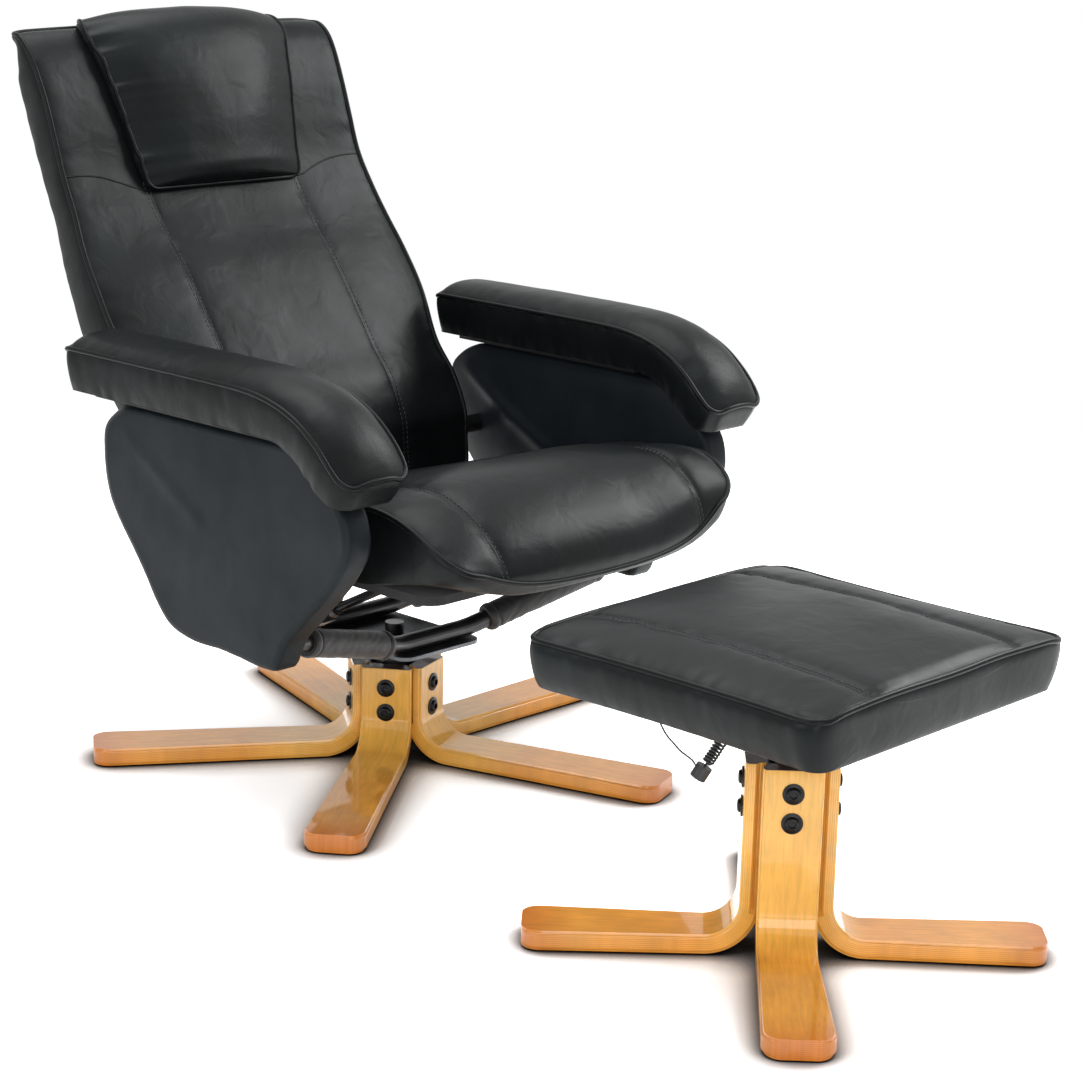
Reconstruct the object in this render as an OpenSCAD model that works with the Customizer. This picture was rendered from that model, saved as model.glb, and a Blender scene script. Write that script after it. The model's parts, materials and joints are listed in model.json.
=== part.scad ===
// Swivel reclining massage armchair with a matching footstool.
// Millimetres. Z is up, the floor is Z = 0, the chair turns about the Z axis and faces -Y.
// Left and right are the sitter's own: left is +X, right is -X.

/* [Bentwood legs] */
// Width of a leg where it stands against the column
leg_w = 70; // [60:1:76]
// Width of a leg at its tip
leg_tip_w = 81; // [74:1:90]
// Thickness of the moulded plywood
leg_t = 24; // [18:1:26]
// Inner radius of the bend
leg_bend_r = 40; // [30:1:55]
// Corner radius of the tip, seen from above
leg_tip_r = 22; // [12:1:30]

/* [Chair base] */
// Reach of the chair legs from the swivel axis
base_reach = 416; // [380:1:450]
// Distance from the swivel axis to the outer face of a chair leg
base_face = 61; // [58:1:68]
// Height of the chair leg tops
base_h = 135; // [130:1:150]

/* [Footstool base] */
// Reach of the stool legs from the stool axis
stool_reach = 304; // [280:1:330]
// Distance from the stool axis to the outer face of a stool leg
stool_face = 54; // [52:1:60]
// Height of the stool leg tops
stool_h = 236; // [225:1:245]
// Turn of the stool legs about the stool axis
stool_turn = 42; // [0:1:89]
// Sideways place of the stool axis
stool_x = -148; // [-260:1:260]
// Distance of the stool axis in front of the swivel axis
stool_ahead = 815; // [800:1:1000]

/* [Fasteners] */
// Diameter of the flange under a leg screw's head
screw_flange_d = 25; // [20:1:28]
// Diameter of a leg screw's domed head
screw_head_d = 17; // [14:1:19]
// Diameter of a leg screw's shank
screw_d = 8; // [6:1:10]
// Distance between the two screws of a leg
screw_pitch = 35; // [30:1:40]
// Drop from the top of a leg to its upper screw
screw_drop = 28; // [24:1:32]

/* [Swivel] */
// Diameter of the swivel posts
post_d = 30; // [26:1:34]
// Diameter of the journal at the top of a post
journal_d = 20; // [16:1:22]
// Thickness of the swivel plates
plate_t = 5; // [4:1:8]
// Height of the chair's swivel plate
plate_z = 163; // [160:1:175]
// Width of the chair's swivel plate
plate_w = 150; // [140:1:170]
// Depth of the chair's swivel plate
plate_l = 200; // [180:1:220]

/* [Under frame] */
// Diameter of the steel cross tubes
tube_d = 25; // [20:1:28]
// Outer diameter of the fabric sleeves on the cross tubes
sleeve_d = 36; // [32:1:40]
// Distance from the axis to each cross tube on the plate
tube_off = 76; // [72:1:84]
// Height of the cross tube ends in the side frames
tube_end_z = 243; // [238:1:250]

/* [Side panels] */
// Distance from the middle of the chair to the middle of a side panel
panel_x = 336; // [330:1:345]
// Thickness of an upholstered side panel
panel_t = 44; // [40:1:50]
// Depth of a side panel from front to back
panel_l = 473; // [460:1:490]
// Height of a side panel
panel_h = 297; // [290:1:297]
// Height of the lowest point of a side panel
panel_z = 222; // [222:1:226]
// Square bar of the side frames inside the panels
bar_d = 20; // [18:1:22]

/* [Arms] */
// Width of an arm pad between its seams
arm_w = 116; // [106:1:120]
// Length of an arm pad
arm_l = 545; // [530:1:560]
// Thickness of an arm pad between its upper seam and its underside
arm_t = 56; // [50:1:64]
// Rise of the arm pad's crown over its seams
arm_crown = 17; // [8:1:24]
// Thickness of an arm board
arm_board_t = 12; // [9:1:14]

/* [Seat] */
// Width of the seat between its side seams
seat_w = 540; // [520:1:544]
// Depth of the seat cushion
seat_l = 500; // [480:1:510]
// Thickness of the seat at its side seams
seat_t = 106; // [96:1:110]
// Rise of the seat's crown over its seams
seat_crown = 25; // [12:1:32]
// Height of the underside of the seat cushion
seat_z = 330; // [328:1:336]
// Thickness of the seat pan
pan_t = 12; // [9:1:14]
// Travel of the seat along its guide rods
seat_travel = 40; // [30:1:44]

/* [Back] */
// Width of the back between its side seams at the top
back_w = 574; // [560:1:590]
// Rise of the back from its lower end to its top seam
back_rise = 530; // [510:1:550]
// Reach of the back's top seam behind its lower end
back_reach = 340; // [320:1:360]
// Thickness of the back at its lower end
back_t = 80; // [74:1:86]
// Rise of the back's crown over its seams
back_crown = 24; // [14:1:32]
// Height of the recline pivot
pivot_z = 400; // [396:1:404]
// Distance of the recline pivot behind the swivel axis
pivot_y = 150; // [146:1:152]
// Diameter of the recline pivot pins
pivot_d = 12; // [10:1:14]

/* [Headrest pillow] */
// Width of the pillow at its top
pillow_w = 356; // [330:1:380]
// Width of the pillow at its lower edge
pillow_low_w = 274; // [250:1:300]
// Bulge of the pillow in front of the back
pillow_bulge = 30; // [18:1:38]

/* [Footstool pad] */
// Width of the stool pad between its seams
pad_w = 444; // [430:1:460]
// Depth of the stool pad
pad_l = 412; // [400:1:430]
// Thickness of the stool pad at its seams
pad_t = 58; // [50:1:66]
// Rise of the stool pad's crown over its seams
pad_crown = 24; // [12:1:30]
// Height of the stool's swivel plate
stool_plate_z = 300; // [296:1:304]

/* [Sewn channels] */
// Depth of a sewn channel
channel_depth = 4; // [2:0.5:6]
// Width of a sewn channel
channel_w = 18; // [12:1:24]

/* [Hidden] */

// Clearances and small sizes that several pieces share
fit = 0.1;              // flat faces that lie against each other
run = 0.05;             // radial clearance of a turning or sliding fit
seat_gap = 0.3;         // soft pieces and the piece that carries them
over = 2;               // overrun of every cut
smooth = 64;            // segments of a round piece
arc_steps = 14;         // segments of a quarter turn in an outline
chair_legs = 5;
stool_legs = 4;
left = 1;
right = -1;
wood = "#c98a3c";
black_steel = "#1a1a1c";
grey_steel = "#77797c";
leather = "#2a2c2d";
board = "#b08a5a";

// Feet, hubs and posts
glide_h = 2;
glide_d = 24;
glide_in = 34;          // from a leg's tip to its glide
hub_low = 48;           // height of a hub's underside
hub_drop = 4;           // from the leg tops to the hub's top
shank_grip = 12;        // depth of a screw in its hub
flange_h = 1.4;
dome_h = 5.5;
socket_d = 8;
socket_deep = 3;
flange_margin = 3.5;     // from a post flange to the inner face of a leg
post_flange_t = 5;
flange_screw_d = 13;
flange_screw_h = 5;
flange_screw_off = 25;
shoulder_d = 46;
shoulder_t = 4;
washer_t = 2.6;
nut_d = 26;
nut_h = 17;
stool_nut_d = 32;
stool_nut_h = 8;
stool_post_low = 150;

// A wedge that keeps one leg clear of its neighbours
module leg_wedge(face, reach, count, height) {
    half = 180 / count;
    linear_extrude(height)
        polygon([[fit / sin(half), 0], [reach + over, (reach + over) * tan(half) - fit / cos(half)],
            [reach + over, -(reach + over) * tan(half) + fit / cos(half)]]);
}

// A bentwood leg along +X: seen from the side, then trimmed by its outline seen from above
module leg(face, reach, height, count) {
    difference() {
        intersection() {
            translate([0, leg_tip_w / 2, 0]) rotate([90, 0, 0]) linear_extrude(leg_tip_w)
                leg_side(face, reach, height);
            linear_extrude(height + over) leg_outline(face, reach);
            leg_wedge(face, reach, count, height + over);
        }
        for (drop = [screw_drop, screw_drop + screw_pitch])
            translate([0, 0, height - drop]) rotate([0, 90, 0]) {
                cylinder(d = screw_d + 4 * fit, h = face + over, $fn = smooth);
                translate([0, 0, face]) cylinder(d = screw_flange_d + 2 * fit, h = over, $fn = smooth);
            }
    }
}

// Points of an arc about c, from angle a to angle b
function arc(c, r, a, b) = [for (i = [0 : arc_steps]) let(t = a + (b - a) * i / arc_steps)
    c + r * [cos(t), sin(t)]];

// A leg seen from the side: its bend rises from the foot to the upright
module leg_side(face, reach, height) {
    centre = [face + leg_bend_r, glide_h + leg_t + leg_bend_r];
    polygon(concat([[face, height]], arc(centre, leg_bend_r, 180, 270),
        [[reach, glide_h + leg_t], [reach, glide_h]], arc(centre, leg_bend_r + leg_t, 270, 180),
        [[face - leg_t, height]]));
}

// Outline of a leg from above, with round corners at the tip
module leg_outline(face, reach) {
    corner = [reach - leg_tip_r, leg_tip_w / 2 - leg_tip_r];
    polygon(concat([[0, -leg_w / 2], [face + leg_bend_r, -leg_w / 2]],
        arc([corner[0], -corner[1]], leg_tip_r, -90, 0), arc(corner, leg_tip_r, 0, 90),
        [[face + leg_bend_r, leg_w / 2], [0, leg_w / 2]]));
}

// A hub with one flat for each leg
module hub(face, height, count, post_low) {
    apothem = face - leg_t - fit;
    difference() {
        rotate([0, 0, 180 / count])
            cylinder(r = apothem / cos(180 / count), h = height - hub_drop - hub_low, $fn = count);
        translate([0, 0, -over]) cylinder(d = post_d + 2 * fit, h = height, $fn = smooth);
        for (k = [0 : count - 1], drop = [screw_drop, screw_drop + screw_pitch])
            rotate([0, 0, 360 / count * k])
                translate([apothem - shank_grip - over, 0, height - drop - hub_low])
                    rotate([0, 90, 0])
                        cylinder(d = screw_d + 2 * fit, h = shank_grip + 2 * over, $fn = smooth);
    }
}

// A leg screw with its flange on the plane X = 0 and its shank along -X
module leg_screw(shank) {
    difference() {
        union() {
            rotate([0, 90, 0]) cylinder(d = screw_flange_d, h = flange_h, $fn = smooth);
            translate([-shank, 0, 0]) rotate([0, 90, 0])
                cylinder(d = screw_d, h = shank + flange_h, $fn = smooth);
            rotate([0, 90, 0]) rotate_extrude($fn = smooth) intersection() {
                translate([0, dome_h - dome_ball]) circle(r = dome_ball, $fn = smooth);
                square([screw_head_d, dome_h]);
            }
        }
        translate([dome_h - socket_deep, 0, 0]) rotate([0, 90, 0])
            cylinder(d = socket_d, h = socket_deep + over, $fn = 6);
    }
}
// Radius of the ball that gives a dome of this width and height
dome_ball = (screw_head_d * screw_head_d / 4 + dome_h * dome_h) / (2 * dome_h);

module leg_screw_ring(face, height, count) {
    for (k = [0 : count - 1], drop = [screw_drop, screw_drop + screw_pitch])
        rotate([0, 0, 360 / count * k]) translate([face + fit, 0, height - drop])
            leg_screw(leg_t + shank_grip);
}

module glide_ring(reach, count) {
    for (k = [0 : count - 1])
        rotate([0, 0, 360 / count * k]) translate([reach - glide_in, 0, 0])
            cylinder(d = glide_d, h = glide_h - run, $fn = smooth);
}

// A post with a flange that lies on the hub, a shoulder and a journal
module post(low, face, height, plate_low, nut) {
    flange_z = height - hub_drop + fit;
    flange_d = 2 * (face - leg_t - flange_margin);
    union() {
        translate([0, 0, low]) cylinder(d = post_d, h = plate_low - washer_t - 2 * run - low, $fn = smooth);
        translate([0, 0, flange_z]) cylinder(d = flange_d, h = post_flange_t, $fn = smooth);
        translate([0, 0, plate_low - washer_t - 2 * run - shoulder_t])
            cylinder(d = shoulder_d, h = shoulder_t, $fn = smooth);
        translate([0, 0, low]) cylinder(d = journal_d, h = plate_low + plate_t + nut - low, $fn = smooth);
    }
}

module base_hub() {
    color(black_steel) translate([0, 0, hub_low]) hub(base_face, base_h, chair_legs, hub_low);
}
module chair_leg(k) {
    color(wood) rotate([0, 0, 360 / chair_legs * k]) leg(base_face, base_reach, base_h, chair_legs);
}
module base_screws() {
    color(black_steel) leg_screw_ring(base_face, base_h, chair_legs);
}
module base_glides() {
    color(black_steel) glide_ring(base_reach, chair_legs);
}
module swivel_post() {
    color(black_steel) post(hub_low, base_face, base_h, plate_z, nut_h);
}
module ring_nut(outer, bore, height) {
    difference() {
        cylinder(d = outer, h = height, $fn = smooth);
        translate([0, 0, -over]) cylinder(d = bore + 2 * run, h = height + 2 * over, $fn = smooth);
    }
}
module post_nut() {
    color(black_steel) translate([0, 0, plate_z + plate_t + seat_gap])
        ring_nut(nut_d, journal_d, nut_h - seat_gap);
}
module post_flange_screws() {
    color(grey_steel) for (k = [0 : chair_legs - 1])
        rotate([0, 0, 360 / chair_legs * k])
            translate([flange_screw_off, 0, base_h - hub_drop + post_flange_t + 2 * fit])
                cylinder(d = flange_screw_d, h = flange_screw_h, $fn = 6);
}

// The stool's base, turned and set in front of the chair
module at_stool() {
    translate([stool_x, -stool_ahead, 0]) children();
}
module at_stool_legs() {
    at_stool() rotate([0, 0, stool_turn]) children();
}
module stool_hub() {
    color(black_steel) at_stool_legs() translate([0, 0, hub_low])
        hub(stool_face, stool_h, stool_legs, hub_low);
}
module stool_leg(k) {
    color(wood) at_stool_legs() rotate([0, 0, 360 / stool_legs * k])
        leg(stool_face, stool_reach, stool_h, stool_legs);
}
module stool_screws() {
    color(black_steel) at_stool_legs() leg_screw_ring(stool_face, stool_h, stool_legs);
}
module stool_glides() {
    color(black_steel) at_stool_legs() glide_ring(stool_reach, stool_legs);
}
module stool_post() {
    color(black_steel) at_stool() post(stool_post_low, stool_face, stool_h, stool_plate_z, stool_nut_h);
}
module stool_post_nut() {
    color(grey_steel) at_stool() translate([0, 0, stool_plate_z + plate_t + seat_gap])
        ring_nut(stool_nut_d, journal_d, stool_nut_h - seat_gap);
}

// Under frame
tube_wall = 2;
tube_bend = 14;         // reach of a bend to each side of its corner
tube_bend_steps = 3;
tube_sides = 24;
tube_flat = 65;         // half length of the flat middle of a cross tube
tube_bend_x = 290;      // distance from the middle to a tube's outer bend
front_tube_end_y = -130;
rear_tube_end_y = 10;
sleeve_share = [0.14, 0.94];
plate_corner_r = 20;
tube_z = plate_z + plate_t + tube_d / 2 + run;
bar_t = 10;             // thickness of the side frame's bars, across the chair
tube_end_x = panel_x - bar_t / 2 - fit;

module swivel_plate() {
    color(grey_steel) translate([0, 0, plate_z]) difference() {
        linear_extrude(plate_t) rounded_plate(plate_w, plate_l, plate_corner_r);
        translate([0, 0, -over]) cylinder(d = journal_d + 2 * run, h = plate_t + 2 * over, $fn = smooth);
    }
}
module rounded_plate(width, depth, corner) {
    union() {
        square([width - 2 * corner, depth], center = true);
        square([width, depth - 2 * corner], center = true);
        for (x = [-1, 1], y = [-1, 1])
            translate([x * (width / 2 - corner), y * (depth / 2 - corner)])
                circle(r = corner, $fn = smooth);
    }
}
module washer(low) {
    translate([0, 0, low - washer_t - run])
        ring_nut(shoulder_d, journal_d, washer_t);
}
module thrust_washer() {
    color("#c8c8c4") washer(plate_z);
}

// A round bar from one point to another
module rod(a, b, d) {
    v = b - a;
    translate(a) rotate([0, acos(v[2] / norm(v)), atan2(v[1], v[0])])
        cylinder(d = d, h = norm(v), $fn = smooth);
}
function tube_points(mid_y, end_y) = [
    [tube_flat, mid_y, tube_z], [tube_bend_x, end_y, tube_end_z], [tube_end_x, end_y, tube_end_z]];
// A tube's path from one side frame to the other, with a short curve at each bend
function tube_curve(c, a, b) = let(p = c + unit(a - c) * tube_bend, q = c + unit(b - c) * tube_bend)
    [for (i = [0 : tube_bend_steps]) let(t = i / tube_bend_steps)
        (1 - t) * (1 - t) * p + 2 * t * (1 - t) * c + t * t * q];
function tube_path(pts, tail) = let(
        half = concat(tube_curve(pts[0], pts[0] - [tube_flat, 0, 0], pts[1]),
            tube_curve(pts[1], pts[0], pts[2]), [pts[2] + [tail, 0, 0]]),
        last = len(half) - 1)
    concat([for (i = [last : -1 : 0]) [-half[i][0], half[i][1], half[i][2]]], half);
module cross_tube(mid_y, end_y) {
    pts = tube_points(mid_y, end_y);
    color(black_steel) difference() {
        ring_skin(tube_rings(tube_path(pts, 0), tube_d, tube_sides, [0, 1, 0]));
        ring_skin(tube_rings(tube_path(pts, over), tube_d - 2 * tube_wall, tube_sides, [0, 1, 0]));
    }
}
module front_cross_tube() {
    cross_tube(-tube_off, front_tube_end_y);
}
module rear_cross_tube() {
    cross_tube(tube_off, rear_tube_end_y);
}
module tube_sleeves() {
    color("#121213") for (ends = [[-tube_off, front_tube_end_y], [tube_off, rear_tube_end_y]],
            side = [0, 1]) {
        pts = tube_points(ends[0], ends[1]);
        a = pts[0] + (pts[1] - pts[0]) * sleeve_share[0];
        b = pts[0] + (pts[1] - pts[0]) * sleeve_share[1];
        mirror([side, 0, 0]) difference() {
            rod(a, b, sleeve_d);
            rod(pts[0], pts[1], tube_d + 2 * seat_gap);
        }
    }
}

// Side panels. Places are shares of the panel's depth, from its front, and of its height
panel_front = -291;
function panel_at(p) = [panel_front + p[0] * panel_l, panel_z + p[1] * panel_h];
panel_outline_shares = [[0.302, 0], [0.49, 0.017], [0.613, 0.017], [0.7, 0.044], [0.761, 0.114],
    [0.858, 0.316], [0.953, 0.498], [0.989, 0.62], [1, 0.771], [0.987, 0.889], [0.911, 0.976],
    [0.827, 1], [0.6, 1], [0.4, 1], [0.216, 1], [0.161, 0.965], [0.101, 0.892], [0.049, 0.825],
    [0.008, 0.734], [0, 0.596], [0.049, 0.458], [0.144, 0.293], [0.233, 0.148], [0.266, 0.054]];
frame_low_front_share = [0.298, 0.081];
frame_low_rear_share = [0.679, 0.094];
frame_rear_share = [0.932, 0.835];
frame_top_rear_share = [0.869, 0.926];
frame_top_front_share = [0.203, 0.926];
frame_front_share = [0.061, 0.599];
brace_shares = [[0.9, 0.88], [0.254, 0.232]];
bar_knee = 0.3;         // swell of a flat bar at a bend
boss_d = 28;            // boss round the recline pivot
stud_d = 6;
stud_low = 15;          // how far a stud reaches into the bar below the panel's top edge
stud_high = 8;          // how far a stud reaches into the arm board
stud_shares = [0.32, 0.76];

// A smooth closed curve through an outline's points
function curve_at(a, b, c, d, t) = 0.5 * (2 * b + (c - a) * t + (2 * a - 5 * b + 4 * c - d) * t * t
    + (3 * b - a - 3 * c + d) * t * t * t);
function smooth_loop(pts, steps) = [
    for (i = [0 : len(pts) - 1], j = [0 : steps - 1])
        curve_at(pts[(i + len(pts) - 1) % len(pts)], pts[i], pts[(i + 1) % len(pts)],
            pts[(i + 2) % len(pts)], j / steps)];

// Turns an outline drawn in Y and Z into a solid that is centred on X = x
module across(x, thickness) {
    translate([x - thickness / 2, 0, 0]) rotate([90, 0, 90]) linear_extrude(thickness) children();
}
// A bar of even width along a row of points, a little wider at each of them
module band(pts, w) {
    for (i = [0 : len(pts) - 2]) {
        v = pts[i + 1] - pts[i];
        translate(pts[i]) rotate([0, 0, atan2(v[1], v[0])]) translate([0, -w / 2])
            square([norm(v), w]);
    }
    for (p = pts) translate(p) circle(d = w + 2 * bar_knee, $fn = smooth);
}
side_loop = [panel_at(frame_low_front_share), panel_at(frame_low_rear_share), [pivot_y, pivot_z],
    panel_at(frame_rear_share), panel_at(frame_top_rear_share), panel_at(frame_top_front_share),
    panel_at(frame_front_share), panel_at(frame_low_front_share)];
module side_frame_outline(clear) {
    union() {
        band(side_loop, bar_d + 2 * clear);
        band([panel_at(brace_shares[0]), panel_at(brace_shares[1])], bar_d + 2 * clear);
        translate([pivot_y, pivot_z]) circle(d = boss_d + 2 * clear, $fn = smooth);
    }
}
module arm_stud_holes(d) {
    for (s = stud_shares) translate([panel_x, panel_at([s, 1])[0], panel_at([s, 1])[1] - stud_low - over])
        cylinder(d = d, h = stud_low + over + arm_board_t, $fn = smooth);
}
module side_frame(side) {
    color(black_steel) mirror([side == left ? 0 : 1, 0, 0]) difference() {
        across(panel_x, bar_t) side_frame_outline(0);
        translate([panel_x - bar_t, pivot_y, pivot_z]) rotate([0, 90, 0])
            cylinder(d = pivot_d + 2 * run, h = 2 * bar_t, $fn = smooth);
        arm_stud_holes(stud_d + 2 * run);
    }
}
module side_cover(side) {
    inner = panel_x - panel_t / 2;
    color(leather) mirror([side == left ? 0 : 1, 0, 0]) difference() {
        across(panel_x, panel_t) intersection() {
            polygon(smooth_loop([for (p = panel_outline_shares) panel_at(p)], 3));
            translate([panel_front - over, panel_z - over])
                square([panel_l + 2 * over, panel_h + over]);
        }
        across(panel_x, bar_t + 2 * seat_gap) side_frame_outline(seat_gap);
        translate([inner - over, pivot_y, pivot_z]) rotate([0, 90, 0])
            cylinder(d = pivot_d + 2 * seat_gap, h = panel_t / 2 + over, $fn = smooth);
        for (y = [front_tube_end_y, rear_tube_end_y])
            translate([inner - over, y, tube_end_z]) rotate([0, 90, 0])
                cylinder(d = tube_d + 2 * seat_gap, h = panel_t / 2 + over, $fn = smooth);
        translate([inner - over, guide_y - guide_arm_w / 2 - seat_gap,
                guide_arm_z - guide_arm_t / 2 - seat_gap])
            cube([panel_t / 2 + over, guide_arm_w + 2 * seat_gap, guide_arm_t + 2 * seat_gap]);
        arm_stud_holes(stud_d + 2 * seat_gap);
    }
}
module pivot_pin(side) {
    collar_x = pivot_tube_half + seat_gap;
    color(grey_steel) mirror([side == left ? 0 : 1, 0, 0]) {
        translate([pivot_tube_half - pin_grip, pivot_y, pivot_z]) rotate([0, 90, 0])
            cylinder(d = pivot_d, h = panel_x + bar_t / 2 - pivot_tube_half + pin_grip, $fn = smooth);
        translate([collar_x, pivot_y, pivot_z]) rotate([0, 90, 0])
            cylinder(d = collar_d, h = panel_x - panel_t / 2 - seat_gap - collar_x, $fn = smooth);
    }
}
pivot_tube_half = 306;
pivot_tube_d = 26;
pin_grip = 38;
collar_d = 22;

// Arms
arm_board_z = panel_z + panel_h + fit;
arm_z = arm_board_z + arm_board_t + seat_gap;
arm_rear = 215;
arm_drop = 70;          // drop of the arm's nose
arm_board_w = 40;
arm_board_ends = [0.03, 0.67];
module arm_board(side) {
    start = arm_rear - arm_board_ends[1] * arm_l;
    long = (arm_board_ends[1] - arm_board_ends[0]) * arm_l;
    color(board) mirror([side == left ? 0 : 1, 0, 0]) difference() {
        translate([panel_x - arm_board_w / 2, start, arm_board_z]) cube([arm_board_w, long, arm_board_t]);
        arm_stud_holes(stud_d + 2 * run);
    }
}
module arm_studs() {
    color(grey_steel) for (side = [0, 1], s = stud_shares) mirror([side, 0, 0])
        translate([panel_x, panel_at([s, 1])[0], panel_at([s, 1])[1] - stud_low])
            cylinder(d = stud_d, h = stud_low + stud_high, $fn = smooth);
}
// Rows from the rear to the nose: place of the upper seam and of the lower edge, as shares of the
// arm's length and of its drop, then shares of its half width and of its crown
arm_row_shares = [
    [0.002, -0.06, 0.013, 0.03, 0.92, 0.25], [0.011, -0.015, 0.02, 0, 0.975, 0.6],
    [0.045, 0, 0.05, 0, 1, 0.85], [0.28, 0, 0.28, 0, 0.985, 1], [0.5, 0, 0.5, 0, 0.985, 1],
    [0.67, -0.02, 0.67, 0, 1, 1], [0.771, -0.15, 0.754, -0.03, 1, 1],
    [0.848, -0.39, 0.82, -0.25, 1, 1], [0.905, -0.71, 0.864, -0.55, 1, 0.94],
    [0.94, -0.98, 0.897, -0.76, 0.995, 0.82], [0.965, -1.2, 0.927, -0.92, 0.95, 0.6],
    [0.977, -1.3, 0.945, -0.963, 0.86, 0.4], [0.9825, -1.34, 0.952, -0.98, 0.75, 0.3],
    [0.985, -1.36, 0.956, -0.99, 0.62, 0.2]];
function arm_row(s) = let(top = [arm_rear - s[0] * arm_l, arm_z + arm_t + s[1] * arm_drop],
        low = [arm_rear - s[2] * arm_l, arm_z + s[3] * arm_drop],
        up = (top - low) / norm(top - low) * arm_crown * s[5])
    [top[0], top[1], low[0], low[1], arm_w / 2 * s[4], up[0], up[1], 0, 0];
module arm_pad(side) {
    color(leather) mirror([side == left ? 0 : 1, 0, 0]) translate([panel_x, 0, 0])
        pad_form([for (s = arm_row_shares) arm_row(s)], 0, arm_bulge);
}
arm_bulge = 2;

// Upholstered forms. A row is [seam y, seam z, lower y, lower z, half width, crown y, crown z,
// share of the channel's depth, share of the side's height that the lower corners rise]. Each row
// gives a ring: crowned top, sides, underside
crown_power = 3;
crown_shares = [1, 0.95, 0.84];
side_shares = [0.3, 0.7];
under_shares = [-1, -0.6, 0, 0.6, 1];
under_power = 4;
function ring_shares(channel, w) = let(c = channel / w, d = channel_w / 2 / w,
        half = channel > 0 ? concat(crown_shares, [c + d, c, c - d, c / 2]) : concat(crown_shares,
            [0.66, 0.4]))
    concat(half, [0], [for (i = [len(half) - 1 : -1 : 0]) -half[i]]);
function dip(t, channel, w) = channel > 0 && abs(abs(t) * w - channel) < channel_w / 4 ? 1 : 0;
function pad_ring(r, channel, bulge) = let(top = [r[0], r[1]], low = [r[2], r[3]],
        down = (low - top) / norm(low - top), w = r[4])
    concat(
        [for (t = ring_shares(channel, w)) let(p = top + [r[5], r[6]] * (1 - pow(abs(t), crown_power))
            + down * channel_depth * r[7] * dip(t, channel, w)) [t * w, p[0], p[1]]],
        [for (s = side_shares) let(p = top + (low - top) * s * (1 - r[8]))
            [-w - bulge * sin(180 * s), p[0], p[1]]],
        [for (t = under_shares) let(p = low + (top - low) * r[8] * pow(abs(t), under_power))
            [(w - bulge) * t, p[0], p[1]]],
        [for (i = [len(side_shares) - 1 : -1 : 0])
            let(s = side_shares[i], p = top + (low - top) * s * (1 - r[8]))
            [w + bulge * sin(180 * s), p[0], p[1]]]);
// Skin over rings of equally many points, closed by a fan at each end
module ring_skin(rings) {
    n = len(rings[0]);
    m = len(rings);
    middle = [for (r = [rings[0], rings[m - 1]]) [for (k = [0 : 2]) mean(r, k)]];
    polyhedron(points = concat([for (r = rings) for (p = r) p], middle),
        faces = concat(
            [for (i = [0 : m - 2], j = [0 : n - 1]) [i * n + j, (i + 1) * n + j, i * n + (j + 1) % n]],
            [for (i = [0 : m - 2], j = [0 : n - 1])
                [i * n + (j + 1) % n, (i + 1) * n + j, (i + 1) * n + (j + 1) % n]],
            [for (j = [0 : n - 1]) [m * n, j, (j + 1) % n]],
            [for (j = [0 : n - 1]) [m * n + 1, (m - 1) * n + (j + 1) % n, (m - 1) * n + j]]));
}
function mean(r, k) = [for (p = r) p[k]] * [for (p = r) 1] / len(r);
module pad_form(rows, channel, bulge) {
    ring_skin([for (r = rows) pad_ring(r, channel, bulge)]);
}

// Seat. The rows run from the rear to the front. Depths are shares of the seat's depth ahead of its
// rear edge, heights are shares of its thickness, the crown is a share of the seat's crown. The last
// two are shares of the channel's depth and of the side's height that the lower corners rise
seat_rear = 112;
seat_channel = 186;     // distance from the middle to a sewn channel
seat_bulge = 3;
seat_row_shares = [
    [0, 0.15, 0.008, 0, 0.965, 0.05, 0.2, 0, 0], [0.016, 0.19, 0.024, 0, 0.985, 0.08, 0.34, 0.5, 0],
    [0.104, 0.285, 0.104, 0, 0.995, 0.12, 0.48, 0.7, 0], [0.344, 0.594, 0.344, 0, 0.985, 0.14, 0.55, 1, 0],
    [0.524, 0.835, 0.524, 0, 0.99, 0.1, 0.6, 1, 0], [0.654, 0.985, 0.654, 0, 1, 0, 0.72, 1, 0.03],
    [0.748, 0.981, 0.734, 0, 1, -0.2, 0.9, 1, 0.1], [0.83, 0.887, 0.8, 0, 1, -0.48, 0.8, 1, 0.2],
    [0.9, 0.736, 0.856, 0, 0.995, -0.88, 0.32, 1, 0.32],
    [0.948, 0.604, 0.904, -0.01, 0.98, -1.04, -0.32, 1, 0.46],
    [0.982, 0.5, 0.94, -0.03, 0.945, -0.8, -1.12, 0.6, 0.58],
    [1, 0.415, 0.968, -0.05, 0.88, -0.24, -1.5, 0, 0.68]];
function seat_row(s) = [seat_rear - s[0] * seat_l, seat_z + s[1] * seat_t, seat_rear - s[2] * seat_l,
    seat_z + s[3] * seat_t, seat_w / 2 * s[4], s[5] * seat_crown, s[6] * seat_crown, s[7], s[8]];
module seat_cushion() {
    color(leather) pad_form([for (s = seat_row_shares) seat_row(s)], seat_channel, seat_bulge);
}

pan_margin = 30;        // from the seat's side seams to the edge of the pan
pan_rear = 96;
pan_l = 410;
pan_corner_r = 30;
motor_d = 72;
motor_h = 26;
seat_motor_y = -120;
pan_low = seat_z - seat_gap - pan_t;
module seat_pan() {
    color(board) translate([0, pan_rear - pan_l / 2, pan_low]) difference() {
        linear_extrude(pan_t) rounded_plate(seat_w - 2 * pan_margin, pan_l, pan_corner_r);
        translate([0, seat_motor_y - pan_rear + pan_l / 2, -over])
            cylinder(d = motor_d + 2 * fit, h = pan_t + 2 * over, $fn = smooth);
    }
}
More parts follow.
